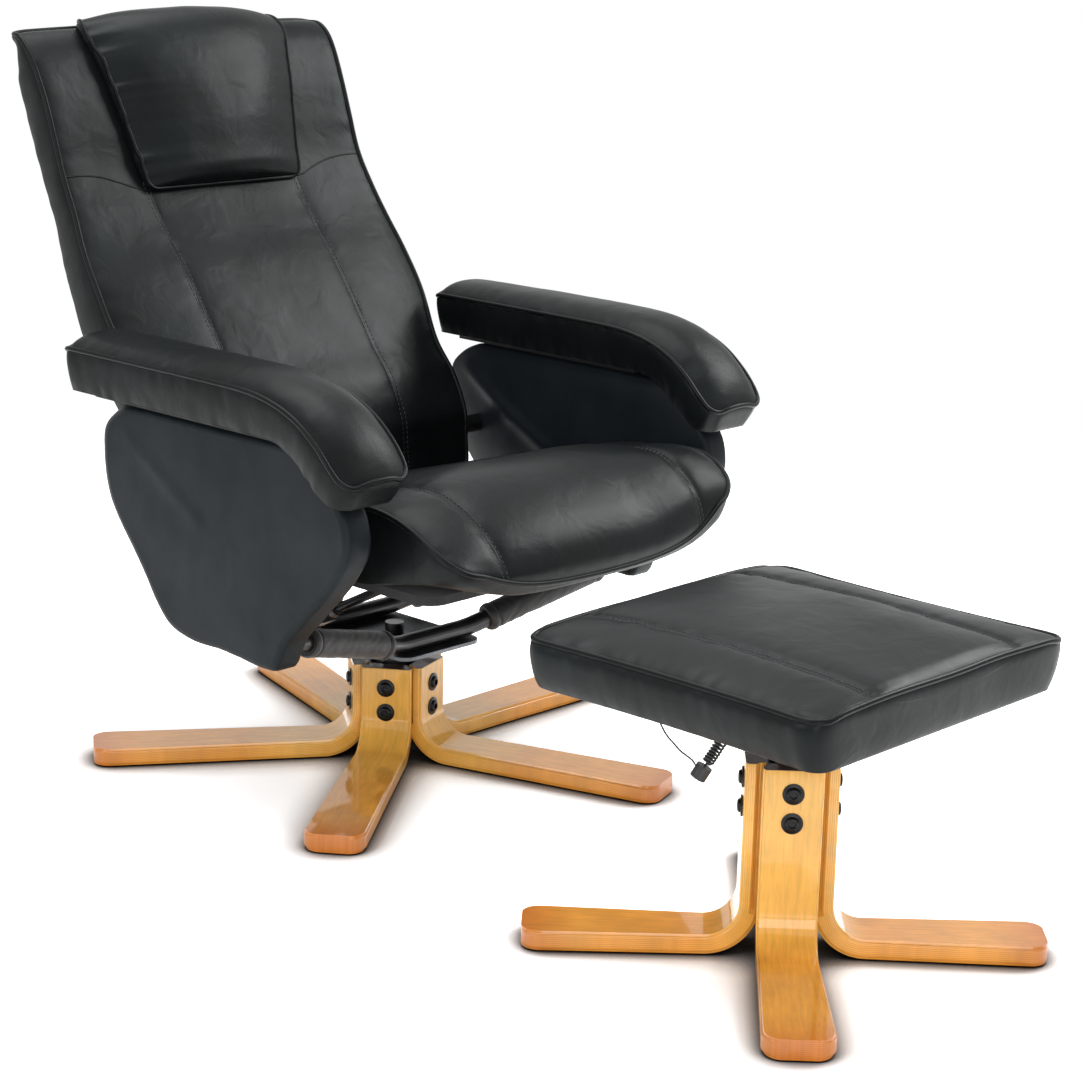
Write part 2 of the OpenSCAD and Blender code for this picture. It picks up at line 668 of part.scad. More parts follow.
// A vibration motor's housing, with a rim that hangs it in a round hole
rim_w = 6;
rim_t = 3;
module motor(top) {
    translate([0, 0, top - motor_h]) cylinder(d = motor_d, h = motor_h - fit, $fn = smooth);
    translate([0, 0, top - pan_t - rim_t - fit])
        cylinder(d = motor_d + 2 * rim_w, h = rim_t, $fn = smooth);
}
module seat_motor() {
    color(black_steel) translate([0, seat_motor_y, 0]) motor(pan_low + pan_t);
}

// Guide rods under the seat, and the brackets they slide in
rod_x = 200;
rod_d = 12;
rod_angle = 27.4;       // rise of the rods towards the front
rod_tail = 9;           // length of a rod past its guide block at full travel
eye_y = -190;
eye_d = 14;
eye_w = 14;
eye_z = pan_low - eye_d / 2 - fit;
guide_at = 135;         // from the eye to the middle of the guide block, along the rod
guide_l = 28;
rod_l = guide_at + guide_l / 2 + seat_travel + rod_tail;
guide_w = 24;
guide_y = eye_y + guide_at * cos(rod_angle);
guide_z = eye_z - guide_at * sin(rod_angle);
guide_arm_w = 26;
guide_arm_t = 8;
guide_arm_z = guide_z - 2;
strap_at = 104;
strap_w = 10;
strap_ring_d = 20;
strap_foot = 26;        // how far in front of its ring a strap meets the pan
strap_foot_l = 30;
strap_foot_t = 3;
module on_rod(s) {
    translate([rod_x, eye_y + s * cos(rod_angle), eye_z - s * sin(rod_angle)])
        rotate([-90 - rod_angle, 0, 0]) children();
}
module guide_rod(side) {
    color(grey_steel) mirror([side == left ? 0 : 1, 0, 0]) {
        on_rod(0) cylinder(d = rod_d, h = rod_l, $fn = smooth);
        translate([rod_x - eye_w / 2, eye_y, eye_z]) rotate([0, 90, 0])
            cylinder(d = eye_d, h = eye_w, $fn = smooth);
    }
}
module guide_bracket(side) {
    color(black_steel) mirror([side == left ? 0 : 1, 0, 0]) difference() {
        union() {
            on_rod(guide_at - guide_l / 2) translate([-guide_w / 2, -guide_w / 2, 0])
                cube([guide_w, guide_w, guide_l]);
            translate([rod_x + guide_w / 2 - over, guide_y - guide_arm_w / 2,
                    guide_arm_z - guide_arm_t / 2])
                cube([panel_x - bar_t / 2 - fit - rod_x - guide_w / 2 + over, guide_arm_w, guide_arm_t]);
        }
        on_rod(guide_at - guide_l) cylinder(d = rod_d + 2 * run, h = 2 * guide_l, $fn = smooth);
    }
}
module rod_straps() {
    ring_y = eye_y + strap_at * cos(rod_angle);
    ring_z = eye_z - strap_at * sin(rod_angle);
    foot_z = pan_low - fit - strap_foot_t;
    color(black_steel) for (side = [0, 1]) mirror([side, 0, 0]) difference() {
        union() {
            on_rod(strap_at - strap_w / 2) cylinder(d = strap_ring_d, h = strap_w, $fn = smooth);
            across(rod_x, strap_w) band([[ring_y, ring_z], [ring_y - strap_foot, foot_z]], strap_w / 2);
            translate([rod_x - strap_w, ring_y - strap_foot - strap_foot_l / 2, foot_z])
                cube([2 * strap_w, strap_foot_l, strap_foot_t]);
        }
        on_rod(0) cylinder(d = rod_d + 2 * run, h = rod_l, $fn = smooth);
    }
}

// Back. A row is [seam y share of the reach, seam z share of the rise, depth share of the
// thickness, lean, half width share, crown share, channel share], from the lower end to the top
back_y = 128;
back_z = 436;
back_channel = 136;
back_bulge = 2.5;
back_row_shares = [
    [-0.006, -0.17, 0.425, 4, 0.915, 0.2, 0], [-0.003, -0.158, 0.56, 5, 0.93, 0.35, 0.6],
    [0.009, -0.115, 0.62, 9, 0.935, 0.4, 1], [0.018, -0.068, 0.66, 12, 0.94, 0.45, 1],
    [0.032, -0.011, 0.75, 20, 0.945, 0.5, 1], [0.112, 0.077, 1, 36.5, 0.955, 0.7, 1],
    [0.224, 0.164, 0.98, 37, 0.955, 0.7, 1], [0.36, 0.29, 0.92, 34, 1.003, 0.6, 1],
    [0.472, 0.396, 0.82, 31, 1, 0.45, 1], [0.565, 0.479, 0.73, 28, 0.985, 0.2, 1],
    [0.644, 0.564, 0.67, 24, 0.962, -0.1, 1], [0.726, 0.657, 0.66, 21, 0.951, -0.25, 0],
    [0.785, 0.762, 0.7, 20, 0.951, -0.25, 0], [0.835, 0.849, 0.7, 24, 0.953, -0.2, 0],
    [0.891, 0.926, 0.64, 33, 0.96, -0.1, 0], [0.942, 0.974, 0.48, 50, 0.965, 0, 0],
    [0.996, 1, 0.26, 68, 0.96, 0.1, 0], [1.047, 1, 0.13, 80, 0.95, 0.1, 0]];
function back_row(s) = let(top = [back_y + s[0] * back_reach, back_z + s[1] * back_rise],
        rearward = [cos(s[3]), -sin(s[3])], low = top + rearward * s[2] * back_t,
        up = -rearward * s[5] * back_crown)
    [top[0], top[1], low[0], low[1], back_w / 2 * s[4], up[0], up[1], s[6], 0];
back_rows = [for (s = back_row_shares) back_row(s)];

// Steel frame inside the back: two flat uprights, two cross bars and the pivot tube
upright_x = 205;
upright_t = 8;
back_bar_w = 20;
upright_shares = [[0.553, 0.362], [0.765, 0.634], [0.874, 0.815]];
function back_at(s) = [back_y + s[0] * back_reach, back_z + s[1] * back_rise];
upright_path = concat([[pivot_y, pivot_z]], [for (s = upright_shares) back_at(s)]);
pivot_tube_wall = 2.5;
module back_bars(clear) {
    for (side = [left, right]) across(side * upright_x, upright_t + 2 * clear)
        band(upright_path, back_bar_w + 2 * clear);
    for (k = [1, 3]) across(0, 2 * upright_x) translate(upright_path[k])
        circle(d = back_bar_w + 2 * clear, $fn = smooth);
}
module back_frame() {
    color(black_steel) difference() {
        union() {
            back_bars(0);
            across(0, 2 * pivot_tube_half) translate([pivot_y, pivot_z])
                circle(d = pivot_tube_d, $fn = smooth);
        }
        across(0, 2 * pivot_tube_half + 2 * over) translate([pivot_y, pivot_z])
            circle(d = pivot_d + 2 * run, $fn = smooth);
        across(0, 2 * (pivot_tube_half - pin_grip - over)) translate([pivot_y, pivot_z])
            circle(d = pivot_tube_d - 2 * pivot_tube_wall, $fn = smooth);
    }
}
module back_cushion() {
    color(leather) difference() {
        pad_form(back_rows, back_channel, back_bulge);
        back_bars(seat_gap);
        across(0, back_w) translate([pivot_y, pivot_z])
            circle(d = pivot_tube_d + 2 * seat_gap, $fn = smooth);
    }
}

// Headrest pillow. A row is [place along the back's rows, depth of its edge as a share of the
// pillow's bulge, bulge share, half width share], from the lower edge over the top of the back
pillow_gap = 0.8;
pillow_row_shares = [
    [10.45, 0.15, 0.1, 0.96], [10.52, 0.33, 0.45, 0.99], [10.72, 0.43, 0.75, 1], [11, 0.5, 0.9, 1],
    [12, 0.5, 1, 1], [13, 0.5, 1, 1], [14, 0.5, 0.95, 1], [15, 0.5, 0.85, 1], [16, 0.42, 0.65, 0.97],
    [16.6, 0.3, 0.4, 0.93], [16.95, 0.15, 0.15, 0.88]];
pillow_power = 2.6;
pillow_top_row = 15;
pillow_ring_shares = [1, 0.95, 0.86, 0.7, 0.48, 0.24, 0, -0.24, -0.48, -0.7, -0.86, -0.95, -1];
pillow_rear_shares = [-1, -0.6, 0, 0.6, 1];
function back_row_at(u) = let(i = min(floor(u), len(back_rows) - 2))
    back_rows[i] + (back_rows[i + 1] - back_rows[i]) * (u - i);
function pillow_ring(s) = let(r = back_row_at(s[0]), seam = [r[0], r[1]], low = [r[2], r[3]],
        up = (seam - low) / norm(seam - low),
        grow = min(1, (s[0] - pillow_row_shares[0][0]) / (pillow_top_row - pillow_row_shares[0][0])),
        half = s[3] * (pillow_low_w + (pillow_w - pillow_low_w) * grow) / 2)
    concat(
        [for (t = pillow_ring_shares) let(x = t * half, p = seam + [r[5], r[6]]
            * (1 - pow(abs(x) / r[4], crown_power)) + up * (pillow_gap + pillow_bulge
            * (s[1] + s[2] * (1 - pow(abs(t), pillow_power))))) [x, p[0], p[1]]],
        [for (t = pillow_rear_shares) let(x = t * half, p = seam + [r[5], r[6]]
            * (1 - pow(abs(x) / r[4], crown_power)) + up * pillow_gap) [x, p[0], p[1]]]);
module headrest_pillow() {
    color(leather) ring_skin([for (s = pillow_row_shares) pillow_ring(s)]);
}

// Footstool pad
stool_board_z = stool_plate_z + plate_t + fit;
stool_board_margin = 40;
stool_board_hole_d = 44;
stool_motor_x = 130;
pad_z = stool_board_z + pan_t + seat_gap;
pad_channel = 131;
pad_bulge = 4;
pad_half_shares = [[1, 0.87, 0.1], [0.985, 0.93, 0.25], [0.95, 0.968, 0.42], [0.88, 0.997, 0.62],
    [0.6, 0.985, 0.86], [0.2, 0.975, 1]];
function pad_row(s, sign) = [sign * s[0] * pad_l / 2, pad_z + pad_t,
    sign * s[0] * (pad_l / 2 - pad_bulge), pad_z, pad_w / 2 * s[1], 0, pad_crown * s[2],
    s[0] < 0.96 ? 1 : 0, 0];
module stool_cushion() {
    rows = concat([for (s = pad_half_shares) pad_row(s, 1)],
        [for (i = [len(pad_half_shares) - 1 : -1 : 0]) pad_row(pad_half_shares[i], -1)]);
    color(leather) at_stool() pad_form(rows, pad_channel, pad_bulge);
}
stool_plate_w = 160;
module stool_plate() {
    color(grey_steel) at_stool() translate([0, 0, stool_plate_z]) difference() {
        linear_extrude(plate_t) rounded_plate(stool_plate_w, stool_plate_w, plate_corner_r);
        translate([0, 0, -over]) cylinder(d = journal_d + 2 * run, h = plate_t + 2 * over, $fn = smooth);
        plate_screw_places() translate([0, 0, -over])
            cylinder(d = plate_screw_d + 2 * fit, h = plate_t + 2 * over, $fn = smooth);
    }
}
module stool_washer() {
    color("#c8c8c4") at_stool() washer(stool_plate_z);
}
plate_screw_d = 5;
plate_screw_l = 14;
plate_screw_in = 14;
plate_screw_head_d = 11;
plate_screw_head_h = 3;
module plate_screw_places() {
    for (x = [-1, 1], y = [-1, 1]) translate([x * (stool_plate_w / 2 - plate_screw_in),
        y * (stool_plate_w / 2 - plate_screw_in), 0]) children();
}
module plate_screws() {
    color(grey_steel) at_stool() translate([0, 0, stool_plate_z]) plate_screw_places() {
        cylinder(d = plate_screw_d, h = plate_screw_l, $fn = smooth);
        translate([0, 0, -plate_screw_head_h - fit])
            cylinder(d = plate_screw_head_d, h = plate_screw_head_h, $fn = smooth);
        translate([0, 0, -plate_screw_head_h])
            cylinder(d = plate_screw_d, h = plate_screw_head_h, $fn = smooth);
    }
}
module stool_board() {
    color(board) at_stool() translate([0, 0, stool_board_z]) difference() {
        linear_extrude(pan_t) rounded_plate(pad_w - 2 * stool_board_margin,
            pad_l - 2 * stool_board_margin, pan_corner_r);
        translate([0, 0, -over]) cylinder(d = stool_board_hole_d, h = pan_t + 2 * over, $fn = smooth);
        translate([stool_motor_x, 0, -over])
            cylinder(d = motor_d + 2 * fit, h = pan_t + 2 * over, $fn = smooth);
        plate_screw_places() translate([0, 0, -over])
            cylinder(d = plate_screw_d + 2 * fit, h = plate_screw_l, $fn = smooth);
    }
}
module stool_motor() {
    color(black_steel) at_stool() translate([stool_motor_x, 0, 0]) motor(stool_board_z + pan_t);
}

// The stool's cord: a thin lead and a curly cord hang from the board and meet at a round plug.
// Places are measured from the stool's axis on the floor
plug_at = [-110, 42, 231];
plug_to_cord = [0.35, -0.35, 0.869];
plug_d = 19;
plug_l = 16;
gland_d = 14;
gland_h = 6;
gland_low = stool_board_z - gland_h;
lead_d = 2;
lead_in = 1;            // how far the thin lead reaches into its gland
lead_route = [[-145, 78, gland_low + lead_in], [-145, 78, 296], [-144, 77, 290], [-141, 74, 281],
    [-137, 70, 272], [-132, 65, 264], [-127, 60, 256], [-122, 54, 250], [-117.5, 49.5, 245],
    [-115.5, 47.5, 241], [-113, 45, 236]];
lead_sides = 8;
coil_d = 14.5;
strand_d = 2.6;
coil_turns = 15;
coil_rings = 8;
coil_sides = 6;
coil_tight_share = 0.66; // pitch at the plug as a share of the mean pitch
coil_bend = [-93, 21, 275];
coil_top = [-90, 15, gland_low];
coil_start = plug_at + plug_to_cord * plug_l / 2;

function unit(v) = v / norm(v);
// The coil's middle line bends from the plug to the gland
function coil_axis(u) = (1 - u) * (1 - u) * coil_start + 2 * u * (1 - u) * coil_bend + u * u * coil_top;
function coil_along(u) = unit(2 * (1 - u) * (coil_bend - coil_start) + 2 * u * (coil_top - coil_bend));
function coil_side(u) = unit(cross(coil_along(u), [0, 1, 0]));
// Share of the middle line that is reached after k turns
function coil_reach(k) = let(s = k / coil_turns) coil_tight_share * s + (1 - coil_tight_share) * s * s;
function coil_radius(k) = (coil_d - strand_d) / 2
    * min(1, 2 * max(0, k)) * min(1, 2 * max(0, coil_turns - k));
function coil_point(k) = let(u = coil_lead_in + (1 - 2 * coil_lead_in) * coil_reach(k),
        a = coil_along(u), e = coil_side(u), f = cross(a, e))
    coil_axis(u) + coil_radius(k) * (cos(360 * k) * e + sin(360 * k) * f);
coil_lead_in = 0.045;
coil_points = concat([coil_axis(0)], [for (i = [0 : coil_turns * coil_rings]) coil_point(i / coil_rings)],
    [coil_axis(1)]);
function path_along(pts, i) = unit(pts[min(i + 1, len(pts) - 1)] - pts[max(i - 1, 0)]);
// Rings of a tube along a row of points. The sides start from one fixed direction
function tube_rings(pts, d, sides, ref) = [for (i = [0 : len(pts) - 1])
    let(a = path_along(pts, i), e = unit(cross(a, ref)), f = cross(a, e))
    [for (j = [0 : sides - 1]) pts[i] + d / 2 * (cos(360 / sides * j) * e + sin(360 / sides * j) * f)]];
function path_length(pts) = [for (i = [1 : len(pts) - 1]) norm(pts[i] - pts[i - 1])]
    * [for (i = [1 : len(pts) - 1]) 1];
coil_gap = min([for (i = [0 : len(coil_points) - 1], j = [i + coil_rings / 2 : len(coil_points) - 1])
    norm(coil_points[i] - coil_points[j])]) - strand_d;
module curly_cord() {
    echo(str("curly cord: length ", path_length(coil_points), " mm, least gap to itself ", coil_gap, " mm"));
    color("#141416") at_stool() ring_skin(tube_rings(coil_points, strand_d, coil_sides, plug_to_cord));
}
module cord_lead() {
    echo(str("thin lead: length ", path_length(lead_route), " mm"));
    color("#141416") at_stool() ring_skin(tube_rings(lead_route, lead_d, lead_sides, [1, 1, 0]));
}
module cord_plug() {
    color("#141416") at_stool() rod(plug_at - plug_to_cord * plug_l / 2, plug_at + plug_to_cord * plug_l / 2,
        plug_d);
}
module cord_glands() {
    color("#141416") at_stool() for (p = [lead_route[0], coil_top])
        translate([p[0], p[1], gland_low]) cylinder(d = gland_d, h = gland_h, $fn = smooth);
}

base_hub();
chair_leg(0);  // leg_1
chair_leg(1);  // leg_2
chair_leg(2);  // leg_3
chair_leg(3);  // leg_4
chair_leg(4);  // leg_5
base_screws();
base_glides();
swivel_post();
post_nut();
post_flange_screws();
stool_hub();
stool_leg(0);  // stool_leg_1
stool_leg(1);  // stool_leg_2
stool_leg(2);  // stool_leg_3
stool_leg(3);  // stool_leg_4
stool_screws();
stool_glides();
stool_post();
stool_post_nut();
swivel_plate();
thrust_washer();
front_cross_tube();
rear_cross_tube();
tube_sleeves();
side_frame(left);  // side_frame_left
side_frame(right);  // side_frame_right
side_cover(left);  // side_cover_left
side_cover(right);  // side_cover_right
arm_board(left);  // arm_board_left
arm_board(right);  // arm_board_right
arm_pad(left);  // arm_pad_left
arm_pad(right);  // arm_pad_right
arm_studs();
guide_bracket(left);  // guide_bracket_left
guide_bracket(right);  // guide_bracket_right
pivot_pin(left);  // pivot_pin_left
pivot_pin(right);  // pivot_pin_right
back_frame();
back_cushion();
headrest_pillow();
seat_pan();
seat_cushion();
seat_motor();
guide_rod(left);  // guide_rod_left
guide_rod(right);  // guide_rod_right
rod_straps();
stool_plate();
stool_washer();
stool_board();
stool_cushion();
stool_motor();
plate_screws();
cord_glands();
cord_lead();
curly_cord();
cord_plug();
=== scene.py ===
"""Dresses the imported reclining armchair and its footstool.

Sizes are written in millimetres and turned to metres by MM, but the depth of a finish's bumps is in
metres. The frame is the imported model's own: Z is up, the chair turns about the Z axis and faces -Y,
and +X is the sitter's left.
"""

from __future__ import annotations

import json
import logging
import math
from dataclasses import dataclass
from enum import Enum
from typing import Sequence

import bpy
import numpy as np
from mathutils import Matrix, Vector, noise

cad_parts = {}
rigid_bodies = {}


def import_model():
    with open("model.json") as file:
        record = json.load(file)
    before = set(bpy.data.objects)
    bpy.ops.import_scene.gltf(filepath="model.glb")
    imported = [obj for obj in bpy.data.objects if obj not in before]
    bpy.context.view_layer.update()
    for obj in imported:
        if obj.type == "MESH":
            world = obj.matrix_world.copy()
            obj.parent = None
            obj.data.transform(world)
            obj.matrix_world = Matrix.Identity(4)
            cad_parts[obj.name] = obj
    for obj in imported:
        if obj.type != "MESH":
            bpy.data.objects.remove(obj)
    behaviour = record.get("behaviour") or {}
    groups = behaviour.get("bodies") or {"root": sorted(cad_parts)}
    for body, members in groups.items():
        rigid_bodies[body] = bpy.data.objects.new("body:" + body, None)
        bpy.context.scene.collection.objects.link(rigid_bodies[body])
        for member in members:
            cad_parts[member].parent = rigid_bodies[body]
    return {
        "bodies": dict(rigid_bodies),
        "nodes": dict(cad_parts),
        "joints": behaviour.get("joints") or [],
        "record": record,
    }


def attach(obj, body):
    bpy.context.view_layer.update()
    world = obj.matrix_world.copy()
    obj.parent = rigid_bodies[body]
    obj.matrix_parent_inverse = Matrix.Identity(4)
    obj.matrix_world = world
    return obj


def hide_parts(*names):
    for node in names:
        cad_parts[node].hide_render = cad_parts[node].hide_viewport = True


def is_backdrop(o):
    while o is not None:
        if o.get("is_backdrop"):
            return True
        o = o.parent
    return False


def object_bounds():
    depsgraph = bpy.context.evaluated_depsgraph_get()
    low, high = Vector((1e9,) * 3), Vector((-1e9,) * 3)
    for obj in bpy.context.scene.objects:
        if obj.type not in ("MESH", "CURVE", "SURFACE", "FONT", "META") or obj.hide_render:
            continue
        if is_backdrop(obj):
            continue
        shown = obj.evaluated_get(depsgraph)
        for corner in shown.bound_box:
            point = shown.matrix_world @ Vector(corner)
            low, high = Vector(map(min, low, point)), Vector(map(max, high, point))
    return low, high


LOG = logging.getLogger("chair")
MM = 0.001
SIDES = {"left": 1.0, "right": -1.0}
STOOL_AT = np.array([-148.0, -815.0, 0.0])

# A direction in which no cord starts: the first cross direction is square to it.
OFF_AXIS = (0.31, 0.57, 0.76)
# How far one whole seed moves a wave through the noise, and what brings it to about 1.
SEED_STEPS = (7.31, 3.17)
WAVE_GAIN = 1.8
# The distance between the points of a piping's line.
PIPING_STEP = 4.0

WHITE = (1.0, 1.0, 1.0, 1.0)
Socket = bpy.types.NodeSocket
Outputs = bpy.types.NodeOutputs


def linear(code: str) -> tuple[float, float, float, float]:
    """Turns an sRGB hex colour into Blender's linear one.

    Args:
        code: Six hex digits, with or without a hash.

    Returns:
        Linear red, green and blue, and an alpha of 1.
    """
    digits = code.lstrip("#")
    values = [int(digits[i:i + 2], 16) / 255 for i in (0, 2, 4)]
    red, green, blue = (v / 12.92 if v <= 0.04045 else ((v + 0.055) / 1.055) ** 2.4 for v in values)
    return red, green, blue, 1.0


def per_mm(size: float) -> float:
    """Gives the texture scale at which one cell measures size millimetres."""
    return 1.0 / (size * MM)


def add_node(tree: bpy.types.NodeTree, kind: str, settings: dict | None = None,
             inputs: dict | None = None) -> bpy.types.Node:
    """Adds a node, sets its properties and fills or links its inputs.

    Args:
        tree: The node tree.
        kind: Blender's name of the node type.
        settings: Properties of the node.
        inputs: Input name or number to a value, or to the output socket that feeds it.

    Returns:
        The new node.
    """
    node = tree.nodes.new(kind)
    for name, value in (settings or {}).items():
        setattr(node, name, value)
    for name, value in (inputs or {}).items():
        socket = node.inputs[name]
        if isinstance(value, bpy.types.NodeSocket):
            tree.links.new(value, socket)
        else:
            socket.default_value = value
    return node


class Graph:
    """A node tree with short calls for the nodes that the finishes share."""

    def __init__(self, tree: bpy.types.NodeTree) -> None:
        """Empties the tree.

        Args:
            tree: The tree of a material or of the world.
        """
        self.tree = tree
        tree.nodes.clear()

    def node(self, kind: str, settings: dict | None = None, inputs: dict | None = None) -> Outputs:
        """Adds a node, as add_node does, and gives its outputs."""
        return add_node(self.tree, kind, settings, inputs).outputs

    def place(self) -> Socket:
        """Gives the place on the object, in metres."""
        return self.node("ShaderNodeTexCoord")["Object"]

    def attribute(self, name: str) -> Socket:
        """Gives a number that the mesh holds for each point."""
        return self.node("ShaderNodeAttribute", {"attribute_name": name})["Fac"]

    def joined(self, **axes: Socket) -> Socket:
        """Joins values into a vector."""
        return self.node("ShaderNodeCombineXYZ", inputs=axes)["Vector"]

    def noise(self, at: Socket, size: float, settings: dict | None = None, **more: float) -> Socket:
        """Gives noise whose cells measure size millimetres.

        Args:
            at: The place.
            size: The cells' size.
            settings: The node's own properties.
            **more: Its further inputs.

        Returns:
            The noise's socket.
        """
        return self.node("ShaderNodeTexNoise", settings, {
            "Vector": at, "Scale": per_mm(size), **more})["Fac"]

    def cells(self, at: Socket, size: float, settings: dict | None = None, **more: float) -> Socket:
        """Gives the distance from the middle of cells that measure size millimetres."""
        return self.node("ShaderNodeTexVoronoi", settings, {
            "Vector": at, "Scale": per_mm(size), **more})["Distance"]

    def maths(self, operation: str, first: Socket, second: Socket | float) -> Socket:
        """Gives the result of an operation on two values."""
        return self.node("ShaderNodeMath", {"operation": operation}, {0: first, 1: second})["Value"]

    def chosen(self, factor: Socket, first: Socket | float, second: Socket | float) -> Socket:
        """Gives the first value where the factor is 0 and the second where it is 1."""
        return self.node("ShaderNodeMix", {"data_type": "FLOAT"}, {
            "Factor": factor, 2: first, 3: second})[0]

    def painted(self, factor: Socket, under: Socket, code: str) -> Socket:
        """Gives a colour with a hex colour over it where the factor is 1."""
        return self.node("ShaderNodeMix", {"data_type": "RGBA"}, {
            "Factor": factor, 6: under, 7: linear(code)})[2]

    def ramp(self, factor: Socket, stops: Sequence[tuple[float, str]]) -> Socket:
        """Adds a colour ramp.

        Args:
            factor: The value that runs through the ramp.
            stops: Pairs of place and hex colour.

        Returns:
            The ramp's colour.
        """
        node = add_node(self.tree, "ShaderNodeValToRGB", inputs={"Fac": factor})
        elements = node.color_ramp.elements
        while len(elements) < len(stops):
            elements.new(0.5)
        for element, (place, code) in zip(elements, stops):
            element.position = place
            element.color = linear(code)
        return node.outputs["Color"]

    def ranged(self, value: Socket, low: float, high: float, to_low: float, to_high: float) -> Socket:
        """Maps the range from low to high onto the one from to_low to to_high, clamped."""
        return self.node("ShaderNodeMapRange", inputs={
            "Value": value, "From Min": low, "From Max": high, "To Min": to_low,
            "To Max": to_high})["Result"]

    def bump(self, height: Socket, strength: float, depth: float, over: Socket | None = None,
             settings: dict | None = None) -> Socket:
        """Adds a bump.

        Args:
            height: The height's socket.
            strength: Its strength.
            depth: How deep it is, in metres.
            over: The bump that it lies over.
            settings: The node's own properties.

        Returns:
            The bent normal.
        """
        inputs = {"Height": height, "Strength": strength, "Distance": depth}
        if over is not None:
            inputs["Normal"] = over
        return self.node("ShaderNodeBump", settings, inputs)["Normal"]

    def surface(self, inputs: dict, kind: str = "ShaderNodeBsdfPrincipled",
                out: str = "ShaderNodeOutputMaterial") -> None:
        """Ends the tree in a shader.

        Args:
            inputs: The shader's inputs.
            kind: Its node type.
            out: The output's node type.
        """
        self.node(out, inputs={"Surface": self.node(kind, inputs=inputs)[0]})


def new_material(name: str) -> tuple[bpy.types.Material, Graph]:
    """Makes an empty material.

    Args:
        name: The material's name.

    Returns:
        The material and its graph.
    """
    material = bpy.data.materials.new(name)
    material.use_nodes = True
    return material, Graph(material.node_tree)


@dataclass(frozen=True)
class Leather:
    """Polyurethane-coated leather: an embossed pebble grain under a satin top coat.

    The grain is embossed at about 1 mm, which is finer than the render shows, so it is drawn at
    grain_mm. The slack is that of the hide over foam.
    """

    name: str
    dark: str = "#0a0c0d"
    light: str = "#141819"
    roughness: float = 0.37
    specular: float = 0.125
    tint: tuple[float, float, float, float] = (0.94, 1.0, 0.98, 1.0)
    tone_mm: float = 120.0
    grain_mm: float = 2.2
    grain_depth: float = 0.00008
    crease_mm: float = 55.0
    slack_mm: float = 38.0
    slack_depth: float = 0.0011

    def make(self) -> bpy.types.Material:
        """Builds the material."""
        material, g = new_material(self.name)
        at = g.place()
        tone = g.noise(at, self.tone_mm, Detail=3.0, Roughness=0.55)
        grain = g.cells(at, self.grain_mm, {"feature": "SMOOTH_F1"}, Smoothness=0.35)
        slack = g.noise(at, self.slack_mm, Detail=2.0, Roughness=0.45, Distortion=0.6)
        crease = g.noise(at, self.crease_mm, {"noise_type": "RIDGED_MULTIFRACTAL"},
                         Detail=2.0, Roughness=0.4, Lacunarity=2.2)
        soft = g.maths("ADD", slack, g.ranged(crease, 0.75, 1.25, 0.0, 0.35))
        g.surface({
            "Base Color": g.ramp(tone, [(0.35, self.dark), (0.7, self.light)]),
            "Roughness": g.ranged(tone, 0.3, 0.75, self.roughness + 0.05, self.roughness - 0.04),
            "Normal": g.bump(grain, 0.75, self.grain_depth, g.bump(soft, 1.0, self.slack_depth)),
            "IOR": 1.5, "Specular IOR Level": self.specular, "Specular Tint": self.tint})
        return material


